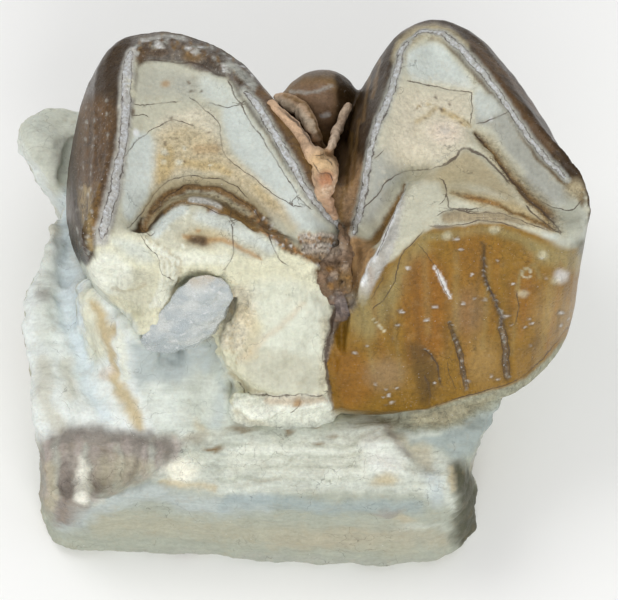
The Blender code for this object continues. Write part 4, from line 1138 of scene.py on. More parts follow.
def mark_right_cusp(s, c):
    brown = [(3.0, 3.65), (2.75, 3.1), (2.45, 2.5), (2.1, 1.95), (1.65, 1.6), (1.25, 1.2), (1.1, 0.8)]
    s.stroke(brown, (0.04, 0.08, 0.11, 0.13, 0.18, 0.24, 0.22), c.hollow, 0.6, gloss=0.5, grain=0.6,
             rise=-0.04)
    s.patch([(1.2, 1.9), (1.7, 1.9), (2.1, 1.5), (1.7, 0.8), (1.5, 0.3), (1.2, 0.6), (1.0, 1.2)],
            (0.33, 0.2, 0.09), 0.12, gloss=0.55, grain=0.6)
    s.stroke([(1.5, 1.7), (1.6, 1.2), (1.45, 0.7)], 0.1, c.flank_brown, 0.9, 0.7)
    ridge = [(3.2, 3.5), (2.95, 2.9), (2.7, 2.3), (2.4, 1.6), (2.1, 1.0), (1.8, 0.4), (1.6, -0.1)]
    s.stroke(ridge, (0.2, 0.22, 0.22, 0.22, 0.2, 0.22, 0.16), c.band, 0.3, gloss=0.5, grain=0.35, rise=0.06)
    # Painted glints along the enamel ridge
    s.stroke([(2.95, 3.3), (2.6, 2.4), (2.25, 1.6), (1.9, 1.05), (1.7, 0.5)], 0.06, c.painted_highlight_white, 0.7, 0.85,
             glint=0.3)
    grey = [
        (3.1, 3.65), (3.9, 3.7), (4.2, 3.3), (4.1, 2.7), (3.7, 2.2), (3.3, 1.9), (2.95, 1.6), (2.85, 2.3),
        (3.0, 3.0),
    ]
    s.patch(grey, c.dentine, 0.12, gloss=0.45)
    s.crack([(3.05, 3.5), (2.8, 2.9), (2.55, 2.35), (2.35, 1.8), (2.15, 1.35)], 0.012)
    s.crack([(3.6, 2.2), (3.2, 1.75), (2.85, 1.3), (2.75, 0.85), (2.6, 0.4), (2.3, 0.0), (2.0, -0.3)],
            0.013)
    s.crack([(2.35, 0.75), (2.15, 0.35), (1.95, 0.0)], 0.011)


def mark_valley(s, c):
    left = [(-0.3, 2.1), (0.4, 2.0), (1.0, 2.0), (1.15, 1.6), (0.7, 1.15), (0.0, 1.35)]
    s.patch(left, c.dentine_cream, 0.12, grain=1.0, gloss=0.3, rise=-0.03)
    for step in range(5):
        layer = [
            (-0.3 + 0.07 * step, 2.02 - 0.17 * step), (0.1, 1.98 - 0.15 * step), (0.5, 2.04 - 0.17 * step),
            (0.95, 1.9 - 0.16 * step), (1.15, 1.75 - 0.13 * step),
        ]
        tone = ((0.6, 0.52, 0.44), (0.44, 0.31, 0.2), (0.56, 0.5, 0.44))[step % 3]
        s.stroke(layer, (0.05, 0.08, 0.06, 0.09, 0.05), tone, 0.7, 0.9, grain=1.0, rise=0.04)
        s.stroke([(x, y - 0.08) for x, y in layer], 0.025, c.umber, 0.7, 0.8, rise=-0.03)
    speckle(s, [(-0.3, 1.9), (0.3, 1.75), (0.9, 1.6)], 0.3, 50, 0.045,
            (c.orange, c.umber, c.painted_highlight_white, c.rust), 0.7)
    s.patch([(0.2, 0.9), (0.9, 1.1), (1.4, 0.9), (1.5, 0.2), (1.3, -0.3), (0.9, -0.1), (0.5, 0.3)],
            c.flank_brown, 0.12, grain=1.0, gloss=0.35, rise=-0.05)
    s.patch([(1.0, 0.1), (1.5, 0.2), (1.5, -0.4), (1.1, -0.7), (0.9, -0.3)], c.line, 0.1, 0.8, grain=1.0)
    s.stroke([(-0.2, 1.45), (0.4, 1.2), (0.9, 1.05)], 0.06, c.rust, 0.7, 0.8)


def mark_honey_face(s, c):
    face = [
        (1.3, 0.1), (1.8, -0.2), (2.2, 0.3), (2.7, 1.0), (3.1, 1.6), (3.6, 2.1), (4.4, 2.2), (5.4, 2.4),
        (6.4, 2.2), (7.2, 1.75), (8.0, 1.5), (8.8, 1.7), (9.1, 0.4), (8.6, -0.8), (7.6, -2.0), (6.75, -2.5),
        (5.9, -2.72), (5.1, -2.97), (4.2, -3.27), (3.5, -3.43), (2.5, -3.6), (1.5, -3.65), (0.95, -3.65),
        (0.72, -3.3), (0.6, -2.8), (0.55, -2.2), (0.52, -1.6), (0.62, -0.9), (0.8, -0.25),
    ]
    s.patch(face, c.honey, 0.05, gloss=0.72, grain=0.4, glint=0.03)
    # Paler honey over the left part of the face: the enamel's own paler tone with painted light where the face
    # turns to the light
    s.patch([(1.4, 0.1), (2.2, 0.4), (2.8, 1.2), (3.4, 1.9), (3.7, 1.6), (3.2, 0.7), (2.7, -0.2),
            (2.0, -1.2), (1.3, -0.8)], c.honey_pale, 0.3, 0.75)
    s.stroke([(3.6, 2.0), (4.6, 2.05), (5.4, 2.2), (6.4, 2.0), (7.2, 1.6)], 0.14, c.honey_pale, 0.9, 0.7)
    s.patch([(6.9, 1.8), (8.3, 1.6), (8.8, 1.6), (8.7, 0.9), (7.8, 1.0), (7.1, 1.2)], c.honey_pale, 0.25,
            0.8)
    s.patch([(3.1, 1.2), (3.8, 1.4), (4.4, 0.6), (4.3, -0.6), (4.2, -1.6), (3.4, -1.8), (3.1, -0.8),
            (3.0, 0.2)], c.honey_deep, 0.35, 0.75)
    s.spot((5.1, 1.3), (0.6, 0.9), c.honey_deep, 0.4)
    s.patch([(0.8, -1.6), (1.7, -1.8), (2.0, -2.9), (1.2, -3.4), (0.8, -2.8)], c.honey_deep, 0.3, 0.6)
    s.spot((5.0, -0.4), (0.5, 0.7), (0.24, 0.15, 0.08), 0.6)
    s.spot((2.4, -2.3), (0.6, 0.5), (0.29, 0.2, 0.11), 0.6)
    s.spot((6.7, 0.1), (0.45, 0.8), c.honey_deep, 0.5)
    s.spot((7.6, -0.4), (0.6, 0.7), (0.36, 0.23, 0.075), 0.6)
    s.spot((5.4, -1.9), (0.5, 0.7), (0.33, 0.21, 0.07), 0.6)
    s.patch([(3.0, -1.4), (3.7, -1.5), (4.0, -2.2), (3.8, -3.1), (3.5, -3.2), (3.3, -2.4)], c.honey_dark,
            0.2, 0.75)
    for step in range(22):
        top = 1.3 + 0.33 * step
        lean = 0.045 * (top - 4.5)
        start = 1.7 - 0.25 * ((step * 5) % 7)
        tone = (c.honey_dark, c.honey_pale, c.honey_deep)[step % 3]
        s.stroke([(top, start), (top - lean, start - 1.3), (top - 3 * lean, start - 2.7)],
                 0.05 + 0.02 * (step % 4), tone, 0.95, 0.28)
    s.stroke([(8.55, 1.7), (8.8, 0.9), (8.75, 0.2)], 0.2, c.bone_olive, 0.8, 0.9)
    s.stroke([(8.75, 1.5), (8.9, 0.6)], 0.06, c.bone_green, 0.8, 0.8)


def mark_honey_grooves(s, c):
    first = [
        (5.45, 1.75), (5.45, 1.2), (5.5, 0.6), (5.75, 0.1), (5.95, -0.4), (6.05, -0.9), (6.15, -1.6),
        (6.2, -2.45),
    ]
    s.stroke(first, (0.05, 0.08, 0.07, 0.07, 0.09, 0.1, 0.1, 0.09), c.honey_dark, 0.8, rise=-0.07)
    s.stroke(first[3:], 0.035, (0.2, 0.15, 0.1), 0.7, grain=1.0, glint=0.5)
    speckle(s, first[1:], 0.07, 46, 0.035, (c.umber, c.slab, c.umber, c.band), 0.8)
    s.crack(first[1:6], 0.02)
    s.crack([(x - 0.09, y) for x, y in first[5:]], 0.012)
    s.crack([(x + 0.09, y) for x, y in reversed(first[5:])], 0.01)
    second = [(4.4, -0.7), (4.6, -1.2), (4.75, -1.8), (4.85, -2.3), (4.95, -2.8)]
    s.stroke(second, (0.04, 0.08, 0.08, 0.07, 0.04), c.honey_dark, 0.7, rise=-0.05)
    s.stroke(second[1:], 0.03, (0.2, 0.15, 0.1), 0.7, grain=1.0, glint=0.5)
    speckle(s, second, 0.06, 30, 0.03, (c.umber, c.slab, c.umber, c.band), 0.8)
    s.crack([(x - 0.07, y) for x, y in second], 0.012)
    s.crack([(x + 0.07, y) for x, y in reversed(second[1:])], 0.009)
    third = [(3.6, -1.55), (3.9, -1.85), (4.05, -2.2), (4.1, -2.7)]
    s.stroke(third, (0.03, 0.06, 0.06, 0.03), c.honey_dark, 0.7, 0.7, rise=-0.04)
    speckle(s, third, 0.06, 20, 0.025, (c.umber, c.slab), 0.7)
    s.crack(third, 0.012)
    s.crack([(3.62, -2.35), (3.75, -2.8), (3.78, -3.3)], 0.024)
    s.crack([(6.5, 0.3), (6.55, -0.3), (6.4, -0.9)], 0.01)
    s.crack([(4.3, -1.9), (4.4, -2.4), (4.6, -2.8)], 0.008)
    s.crack([(3.4, 1.75), (3.9, 1.1), (4.15, 0.5), (4.4, 0.05)], 0.007)
    # Painted glint streak
    s.stroke([(3.9, 1.05), (4.15, 0.6), (4.4, 0.1)], (0.03, 0.06, 0.05), c.painted_highlight_white, 0.6, 0.85, glint=0.5,
             rise=0.03)
    s.stroke([(1.95, -0.6), (2.4, -1.0)], 0.025, c.cream, 0.6, 0.6)
    pits = ((4.6, 1.5), (4.75, 1.55), (4.65, 1.9), (5.7, 1.45), (5.9, 1.2), (7.25, 1.3), (5.1, 0.8),
            (3.1, 1.0), (5.2, 0.05), (5.5, 0.0), (5.35, 0.02), (4.8, -0.1), (6.9, -0.6), (6.75, -0.85),
            (7.0, -0.75), (6.6, -0.5), (6.3, -0.8), (6.15, -0.5), (6.0, -0.9), (3.7, -0.65), (2.6, -1.2),
            (2.75, -0.8), (2.9, -0.35), (1.8, -1.45), (2.1, -2.65), (2.4, -2.8), (2.75, -2.75),
            (2.5, -3.0), (2.3, -3.05), (2.6, -3.2), (2.45, -3.3), (3.9, -2.6), (5.7, -2.4), (5.9, -2.45),
            (5.0, -2.55), (6.3, -1.25), (6.9, -1.4), (7.9, -0.4), (8.1, -0.6), (7.85, -0.8), (8.2, -0.35),
            (1.4, -1.65), (3.9, -0.2), (6.4, 0.5), (7.4, 0.7), (2.2, 0.9))
    for i, place in enumerate(pits):
        size = 0.03 + 0.045 * ((i * 7) % 5) / 5
        wide = 0.7 + 0.25 * ((i * 3) % 4)
        s.spot(place, (size * 1.6 * wide, size * 1.6), c.honey_dark, 0.45)
        # White dot in each pit: painted glint
        s.spot(place, (size * wide, size * 0.6), c.painted_highlight_white, 0.35 + 0.12 * ((i * 5) % 4), rise=0.02)
    turn = np.linspace(0, 5.5, 12)
    s.stroke([(6.8 + 0.15 * cos(a), 0.85 + 0.17 * sin(a)) for a in turn], 0.03, c.cream, 0.7, 0.6)
    for place in ((7.3, 1.4), (5.8, 2.2), (7.75, 0.6), (4.3, 2.0), (6.7, 0.2)):
        s.spot(place, (0.16, 0.12), c.cream, 0.45, grain=1.0, glint=0.3)
    # Painted glint
    s.spot((7.9, 0.75), (0.2, 0.2), c.painted_highlight_white, 0.6, glint=0.3)
    s.stroke([(6.5, 0.3), (6.6, 0.8), (7.0, 1.1), (7.2, 0.7)], 0.06, c.honey_pale, 0.8, 0.5)
    s.spot((0.95, -3.5), (0.22, 0.08), c.cream, 0.7)


def mark_honey_edge(s, c):
    edge = [
        (1.3, -0.1), (0.95, -0.35), (0.75, -0.8), (0.6, -1.3), (0.55, -1.9), (0.58, -2.5), (0.65, -3.0),
        (0.8, -3.5),
    ]
    s.stroke(edge[:5], (0.2, 0.22, 0.16, 0.12, 0.08), c.line, 0.6, 0.85, grain=1.0, glint=0.25)
    s.crack(edge, 0.035, 0.06)
    s.crack([(x - 0.12, y) for x, y in edge[:5]], 0.007)
    s.crack([(0.95, -3.66), (1.8, -3.64), (2.8, -3.58), (3.6, -3.42), (4.6, -3.12), (5.6, -2.82),
            (6.6, -2.5)], 0.012, 0.02)
    s.crack([(6.6, -2.5), (7.2, -1.95), (7.8, -1.25), (8.3, -0.6)], 0.011, 0.02)


def mark_neck(s, c):
    band = [
        (2.0, -3.65), (2.9, -3.6), (3.8, -3.4), (5.1, -3.0), (6.6, -2.55), (7.3, -1.95), (8.1, -1.1),
        (8.4, -0.9), (7.4, -2.3), (6.2, -3.2), (5.2, -3.75), (4.2, -4.05), (3.2, -4.1), (2.4, -3.95),
    ]
    s.patch(band, (0.3, 0.3, 0.22), 0.06, gloss=0.25, grain=0.75)
    s.patch([(3.2, -3.65), (4.5, -3.3), (5.8, -3.0), (5.0, -3.6), (3.6, -3.95)], (0.34, 0.3, 0.19), 0.15,
            0.6)
    smooth = [
        (2.6, -4.1), (3.6, -4.15), (4.6, -3.95), (5.4, -3.6), (6.1, -3.2), (5.8, -4.0), (5.2, -4.7),
        (4.7, -5.0), (4.0, -4.7), (3.2, -4.5),
    ]
    s.patch(smooth, (0.34, 0.39, 0.37), 0.2, gloss=0.4, grain=0.15)
    s.stroke([(2.6, -4.2), (3.4, -4.25), (4.1, -4.15)], 0.08, c.bone, 0.8, 0.7)
    s.patch([(2.5, -4.0), (2.9, -4.4), (3.3, -5.1), (3.9, -5.3), (3.8, -4.6), (3.1, -4.4)], c.bone_beige,
            0.18, 0.75, rise=-0.12)
    s.stroke([(2.4, -3.9), (2.7, -4.4), (3.1, -4.9)], 0.1, c.mauve_stain_and_shade, 0.8, 0.55)


def mark_bone_ledge(s, c):
    ledge = [
        (-5.3, -4.4), (-4.0, -4.3), (-2.0, -4.0), (0.8, -3.85), (2.2, -3.8), (3.0, -4.6), (4.6, -4.9),
        (4.9, -5.4), (4.6, -6.1), (2.0, -6.0), (-1.0, -6.0), (-3.2, -6.0), (-5.0, -5.6), (-6.8, -6.4),
    ]
    s.patch(ledge, c.bone, 0.2, gloss=0.35, grain=0.3)
    s.patch([(-2.2, -4.6), (0.0, -4.3), (2.0, -4.4), (2.6, -5.2), (1.0, -5.6), (-1.6, -5.4)], c.white, 0.3,
            0.5)
    lumps = [(1.6, -4.4), (2.2, -4.1), (2.7, -4.6), (3.1, -5.1), (2.9, -5.5), (2.3, -5.5), (1.7, -5.2)]
    s.patch(lumps, (0.66, 0.69, 0.62), 0.2, 0.8, rise=0.12)
    s.spot((2.35, -5.1), (0.5, 0.3), (0.8, 0.82, 0.77), 0.7, rise=0.08)
    s.spot((1.9, -4.5), (0.3, 0.3), (0.76, 0.78, 0.73), 0.5, rise=0.05)
    s.spot((2.4, -5.65), (0.4, 0.2), c.bone_tan, 0.7)
    s.spot((-4.0, -5.3), (0.5, 0.38), (0.86, 0.84, 0.7), 0.9, rise=0.12)
    s.spot((-3.5, -5.0), (0.4, 0.25), c.white, 0.7)
    s.stroke([(-4.6, -5.7), (-3.9, -5.8), (-3.0, -5.85)], 0.1, c.bone_tan, 0.9, 0.6)
    for x, y, wide, high, strength in (
        (-3.0, -4.6, 0.3, 0.1, 0.9), (0.05, -3.9, 0.25, 0.1, 0.9), (-0.6, -4.15, 0.22, 0.08, 0.8),
        (0.3, -4.47, 0.2, 0.06, 0.7), (-2.1, -4.05, 0.4, 0.08, 0.5), (-3.6, -4.35, 0.4, 0.15, 0.4),
        (0.7, -4.2, 0.2, 0.08, 0.5), (-1.3, -5.6, 0.6, 0.08, 0.3),
    ):
        s.spot((x, y), (wide, high), c.hollow, strength, rise=-0.06)
    for y in (-4.55, -4.9, -5.25, -5.6):
        s.stroke([(-2.8, y), (-1.2, y + 0.06), (0.4, y - 0.02), (1.5, y + 0.04)], 0.05, c.bone_green, 0.9,
                 0.5, rise=-0.03)
    s.spot((-2.2, -5.1), (0.4, 0.35), c.white, 0.6)
    s.spot((-1.7, -4.6), (0.25, 0.15), c.white, 0.6)


def mark_bone_recess(s, c):
    recess = [
        (-8.3, -4.3), (-7.2, -3.9), (-6.0, -4.1), (-4.9, -4.2), (-4.0, -4.4), (-4.3, -5.0), (-5.2, -5.5),
        (-6.2, -5.9), (-7.0, -6.5), (-7.6, -7.0), (-8.3, -6.4), (-8.5, -5.2),
    ]
    # Mauve over the recess: its brown-purple stain with painted shade where the hollow lies deep
    s.patch(recess, c.mauve_stain_and_shade, 0.3, 0.85, gloss=0.3, grain=0.35)
    for step in range(17):
        left = -8.2 + 0.25 * step
        top = -4.5 + 0.15 * sin(step * 2.0)
        foot = max(top - 1.6, -6.9 + 0.55 * abs(left + 7.8))
        tone = ((0.5, 0.43, 0.4), c.mauve_stain_and_shade, (0.42, 0.36, 0.33), c.bone)[(step * 3) % 4]
        s.stroke([(left, top), (left + 0.04, 0.5 * (top + foot)), (left, foot)], 0.09, tone, 0.95, 0.5,
                 rise=0.03 * sin(step * 2.0))
    s.patch([(-6.6, -4.9), (-5.6, -4.9), (-4.8, -5.2), (-5.8, -5.8), (-6.5, -5.9)], c.bone_beige, 0.25, 0.6)
    s.stroke([(-7.1, -5.0), (-7.05, -5.6), (-7.1, -6.2)], (0.12, 0.26, 0.14), (0.74, 0.73, 0.64), 0.95,
             rise=0.04)
    s.stroke([(-7.65, -5.2), (-7.6, -6.0), (-7.75, -6.9)], (0.1, 0.14, 0.16), c.mauve_stain_and_shade, 0.9, rise=-0.05)
    s.stroke([(-8.1, -5.2), (-8.05, -6.4)], 0.16, c.bone_beige, 0.8, 0.7)
    # Grey lines at the top of the recess: painted shade in the groove under the upper bone
    s.stroke([(-5.3, -4.4), (-5.35, -5.0), (-5.6, -5.5)], 0.06, c.rim_grey_and_shade, 0.9, 0.4)
    s.stroke([(-8.0, -4.45), (-6.8, -4.15), (-5.4, -4.3), (-4.5, -4.5)], 0.2, c.rim_grey_and_shade, 0.9, 0.55,
             rise=-0.1)


def mark_bone_front(s, c):
    front = [
        (-8.3, -7.0), (-7.2, -6.5), (-6.2, -5.9), (-5.0, -5.45), (-4.2, -5.8), (-3.0, -5.95), (0.0, -5.95),
        (2.5, -5.95), (4.4, -6.0), (5.3, -6.0), (5.4, -8.4), (0.0, -8.6), (-8.4, -8.2),
    ]
    s.patch(front, (0.37, 0.39, 0.32), 0.1, gloss=0.4, grain=0.16)
    s.stroke([(-7.6, -7.0), (-6.2, -6.3), (-5.0, -6.0), (-3.5, -6.4), (-1.5, -6.3)], 0.3, c.bone_blue, 0.9,
             0.6)
    s.stroke([(-6.5, -7.0), (-3.0, -7.2), (0.0, -7.4), (3.0, -7.7)], 0.3, (0.42, 0.39, 0.28), 0.9, 0.5)
    s.stroke([(-2.6, -6.3), (-1.2, -6.25), (0.4, -6.5), (2.2, -6.4), (3.4, -6.5)], 0.2, (0.31, 0.37, 0.37),
             0.9, 0.75)
    s.stroke([(-1.0, -7.6), (1.0, -7.5), (2.6, -7.3), (4.2, -7.5)], 0.25, (0.4, 0.36, 0.26), 0.9, 0.5)
    s.stroke([(-6.0, -8.0), (-3.0, -8.0), (1.0, -8.25), (4.0, -8.2)], 0.14, c.slab, 0.9, 0.5)
    s.spot((2.5, -6.7), (0.4, 0.18), c.mauve_stain_and_shade, 0.6)
    s.spot((3.0, -6.9), (0.35, 0.12), c.bone_beige, 0.7)
    s.spot((3.6, -7.1), (0.7, 0.12), c.bone, 0.5)


def mark_bone_right_end(s, c):
    # Very dark olive at the right end: painted shade where the block rounds away from the light
    end = [
        (4.4, -5.3), (4.7, -5.0), (5.1, -5.4), (5.4, -6.3), (5.4, -7.2), (5.0, -7.9), (4.5, -7.4),
        (4.6, -6.4),
    ]
    s.patch(end, (0.085, 0.085, 0.055), 0.25, gloss=0.45, grain=0.3)
    s.stroke([(3.6, -5.0), (3.9, -5.6), (4.0, -6.2)], 0.25, c.bone_blue, 0.9, 0.7)
    s.stroke([(4.4, -5.3), (4.5, -5.9)], 0.1, c.bone_tan, 0.8, 0.5)
    s.stroke([(4.25, -5.9), (4.45, -6.5)], 0.1, c.bone, 0.8, 0.7)


def mark_bone_left_end(s, c):
    end = [
        (-9.2, 6.2), (-7.0, 6.2), (-7.2, 3.0), (-6.9, 1.4), (-6.4, 0.4), (-5.6, -0.6), (-5.3, -2.6),
        (-4.8, -4.2), (-6.4, -4.2), (-8.4, -4.5), (-9.0, -3.0), (-9.3, -0.4), (-9.0, 1.0), (-8.3, 2.8),
        (-9.3, 4.6),
    ]
    s.patch(end, (0.72, 0.76, 0.73), 0.2, gloss=0.4, grain=0.14)
    s.patch([(-9.1, 6.1), (-7.2, 6.1), (-7.4, 4.4), (-7.7, 3.2), (-8.6, 4.2), (-9.2, 5.2)],
            (0.6, 0.62, 0.53), 0.2)
    s.spot((-8.5, 5.4), (0.4, 0.5), c.bone, 0.7)
    # Blue-grey line along the groove between bone and root: painted shade
    s.stroke([(-7.5, 3.2), (-7.6, 2.0), (-7.55, 0.4), (-7.3, -1.2), (-6.8, -2.8), (-6.4, -3.6)],
             (0.25, 0.3, 0.3, 0.26, 0.2, 0.2), (0.62, 0.7, 0.73), 0.9, 0.8, rise=-0.12)
    s.stroke([(-8.0, 2.2), (-8.2, 0.6), (-8.3, -1.2)], 0.25, c.bone, 0.9, 0.6, rise=0.1)
    s.spot((-8.35, 0.2), (0.25, 0.2), c.mauve_stain_and_shade, 0.5)
    s.spot((-8.1, 2.4), (0.3, 0.5), c.bone_beige, 0.5)
    s.stroke([(-8.3, -2.0), (-8.3, -3.2), (-7.8, -4.0)], 0.25, c.bone_beige, 0.9, 0.5)
    s.stroke([(-7.6, -2.0), (-7.5, -2.9)], 0.2, c.bone_beige, 0.9, 0.4)
    s.stroke([(-6.9, 0.1), (-6.7, -0.8), (-6.6, -1.6)], 0.3, c.cream, 0.7, 0.75)
    s.stroke([(-6.75, -0.1), (-6.4, -0.8), (-6.2, -1.5), (-6.1, -2.1), (-5.9, -2.8), (-5.5, -3.4),
             (-5.3, -4.0)], (0.12, 0.2, 0.16, 0.1, 0.22, 0.24, 0.14), c.bone_tan, 0.8, 0.9)
    s.spot((-6.3, -2.3), (0.2, 0.25), (0.62, 0.52, 0.42), 0.6)
    s.stroke([(-5.95, -1.0), (-5.8, -1.8), (-5.7, -2.4)], 0.12, c.white, 0.6, 0.9, rise=0.06)
    shade = [
        (-5.6, -1.3), (-4.6, -1.5), (-3.0, -1.3), (-2.9, -1.9), (-3.2, -2.4), (-4.2, -2.7), (-5.3, -2.7),
    ]
    s.patch(shade, (0.46, 0.51, 0.5), 0.25, gloss=0.45, grain=0.08)
    s.patch([(-6.0, 0.4), (-5.2, -0.5), (-5.1, -1.2), (-5.7, -1.1), (-6.1, -0.3)], (0.62, 0.66, 0.6), 0.25,
            0.8)
    lower = [
        (-5.0, -2.7), (-3.4, -2.6), (-2.6, -2.2), (-2.4, -3.4), (-2.6, -4.2), (-4.0, -4.2), (-4.8, -4.0),
    ]
    s.patch(lower, (0.66, 0.7, 0.64), 0.3, gloss=0.4, grain=0.15)
    s.stroke([(-3.6, -2.4), (-3.7, -3.3), (-3.5, -4.0)], 0.3, (0.55, 0.58, 0.5), 0.9, 0.5)
    s.stroke([(-2.8, -2.0), (-2.75, -3.0), (-2.9, -3.9)], 0.16, c.bone_blue, 0.8, 0.5)
    s.stroke([(-3.5, -3.9), (-3.1, -4.3), (-2.4, -4.3)], 0.15, c.bone_tan, 0.8, 0.5)


def mark_tooth(s, c):
    for marks in (
        mark_left_dentine, mark_left_hollow, mark_left_cusp, mark_broken_corner, mark_boss, mark_left_rim,
        mark_left_flank, mark_left_band, mark_left_ring, mark_pillar, mark_right_flanks, mark_right_dentine,
        mark_right_hollows, mark_right_ring, mark_right_cusp, mark_valley, mark_honey_face,
        mark_honey_grooves, mark_honey_edge, mark_neck,
    ):
        marks(s, c)


def mark_bone(s, c):
    for marks in (
        mark_bone_left_end, mark_bone_front, mark_bone_ledge, mark_bone_recess, mark_bone_right_end,
        mark_neck,
    ):
        marks(s, c)


def tooth_ground(s, c):
    """First coat of the tooth, also where the photograph doesn't see it."""
    x, y, z = (s.points - TOOTH_SHIFT).T
    below = 1 - soft_step(NECK - 0.15, NECK + 0.05, z)
    s.lay(below, tint=c.bone, gloss=0.3, grain=0.5, everywhere=True)
    top = soft_step(0.8, 0.93, s.normals[:, 2]) * soft_step(RIM - 1.6, RIM - 1.2, z)
    s.lay(top, tint=c.dentine, gloss=0.4, grain=0.2, everywhere=True)
    broken = soft_step(1.1, 0.8, x) * soft_step(-1.6, -2.0, y) * (1 - below) * soft_step(-6.6, -6.2, x)
    s.lay(broken, tint=c.cream, gloss=0.3, grain=0.4, everywhere=True)
    tongue = soft_step(0.9, 1.3, x) * soft_step(-0.2, -0.8, s.normals[:, 1]) * (1 - below) * (1 - top)
    s.lay(tongue, tint=c.honey, gloss=0.7, grain=0.16, everywhere=True)
    wall = (1 - below) * (1 - top) * (1 - broken) * (1 - tongue)
    growth = 0.5 + 0.5 * np.sin(z * 9 + 2.5 * noise_at(s.points, 0.5, 5.0, 2))
    s.lay(wall * growth * 0.14, tint=c.flank_brown, everywhere=True)
    streak = soft_step(0.1, 0.5, noise_at(s.points * np.array((1.6, 1.6, 0.25)), 1.0, 8.0, 3))
    s.lay(wall * streak * 0.6, tint=c.flank_brown, grain=0.6, everywhere=True)
    stain = soft_step(0.15, 0.45, noise_at(s.points, 0.6, 21.0, 3)) * soft_step(8.6, 6.0, z)
    s.lay(wall * stain * 0.35, tint=c.hollow, grain=0.8, everywhere=True)
    s.rise += wall * 0.02 * noise_at(s.points * np.array((2.2, 2.2, 0.4)), 1.0, 13.0, 3)


def bone_ground(s, c):
    """First coat of the bone, also where the photograph doesn't see it."""
    fibres = noise_at(s.points * np.array((0.35, 2.4, 2.4)), 1.0, 4.0, 4)
    patches = noise_at(s.points, 0.35, 9.0, 3)
    s.lay(soft_step(-0.2, 0.5, patches), tint=c.bone_green, everywhere=True)
    s.lay(soft_step(0.0, 0.5, fibres) * 0.6, tint=c.bone_beige, everywhere=True)
    s.lay(soft_step(0.2, 0.6, noise_at(s.points, 0.5, 30.0, 3)) * 0.5, tint=c.bone_tan, everywhere=True)
    s.lay(soft_step(0.25, 0.6, noise_at(s.points, 0.7, 44.0, 3)) * 0.5, tint=c.mauve_stain_and_shade, everywhere=True)
    s.rise += 0.07 * fibres
    s.rise += 0.1 * noise_at(s.points, 1.3, 17.0, 4)


def roughen_breaks(s):
    """Small facets and chips on the broken tongue side of the left lobe."""
    x, y, z = (s.points - TOOTH_SHIFT).T
    broken = soft_step(1.0, 0.7, x) * soft_step(-1.7, -2.2, y) * soft_step(NECK - 0.4, NECK, z)
    rows = np.nonzero(broken > 0)[0]
    chips = cell_edges(s.points[rows], 1.1, 2.0)
    s.rise[rows] += broken[rows] * 0.13 * (np.minimum(chips, 0.6) - 0.3)
    s.rise[rows] += broken[rows] * 0.08 * noise_at(s.points[rows], 2.6, 6.0, 4)


class FOSSIL_OT_molar(bpy.types.Operator):
    """Make the worn molar: enamel flanks and rings, dentine, hollows, honey-coloured face and breaks, with
    painted glints and painted light
    """

    bl_idname = "fossil.molar"
    bl_label = "Molar"

    def execute(self, context):
        c = context.scene.fossil_paint
        over_silica = [
            (-5.6, 1.2), (-4.8, 1.5), (-3.8, 1.4), (-2.8, 1.2), (-2.1, 0.8), (-2.3, 0.3), (-3.0, 0.5),
            (-3.8, 0.5), (-4.3, -0.1), (-4.8, -0.7), (-5.1, -0.9), (-5.4, -0.5), (-5.8, 0.2),
        ]
        block = [
            (-2.3, -2.7), (-1.4, -2.95), (-0.4, -3.0), (0.6, -2.9), (0.72, -3.6), (0.6, -3.9),
            (-1.0, -3.95), (-2.3, -3.9), (-2.4, -3.3),
        ]
        valley_side = [
            (1.2, 2.0), (1.55, 2.2), (1.95, 1.9), (2.1, 1.4), (1.85, 0.8), (1.6, 0.2), (1.4, -0.3),
            (1.3, 0.2), (1.35, 0.9), (1.25, 1.5),
        ]
        facet = [
            (-1.6, 0.1), (-0.8, 0.35), (0.1, 0.0), (0.45, -0.4), (0.45, -1.3), (0.4, -2.2), (0.2, -2.65),
            (-0.8, -2.65), (-1.5, -2.3), (-2.0, -1.6), (-1.9, -0.7),
        ]
        bridges = (
            (over_silica, 0.35, 0.15, 0.05), (block, 0.35, 0.2, 0.06), (valley_side, 0.25, 0.12, -0.03),
            (facet, 0.6, 0.15, 0.2),
        )
        lumps = [lump for settings in bridges for lump in bridge(*settings)]
        obj = fine_copy("molar", "worn_molar", context.scene.fossil_mesh.molar_voxel / MM, 6, lumps)
        thin_out(obj)
        s = Surface(obj, c.flank_dark, gloss=0.65, grain=0.3)
        tooth_ground(s, c)
        roughen_breaks(s)
        mark_tooth(s, c)
        s.write()
        material = stone_material("Fossil tooth", streak=(2.0, 2.0, 0.3), coat=0.06, glow=0.06)
        finish_piece(obj, material, "tooth", "molar")
        return {"FINISHED"}


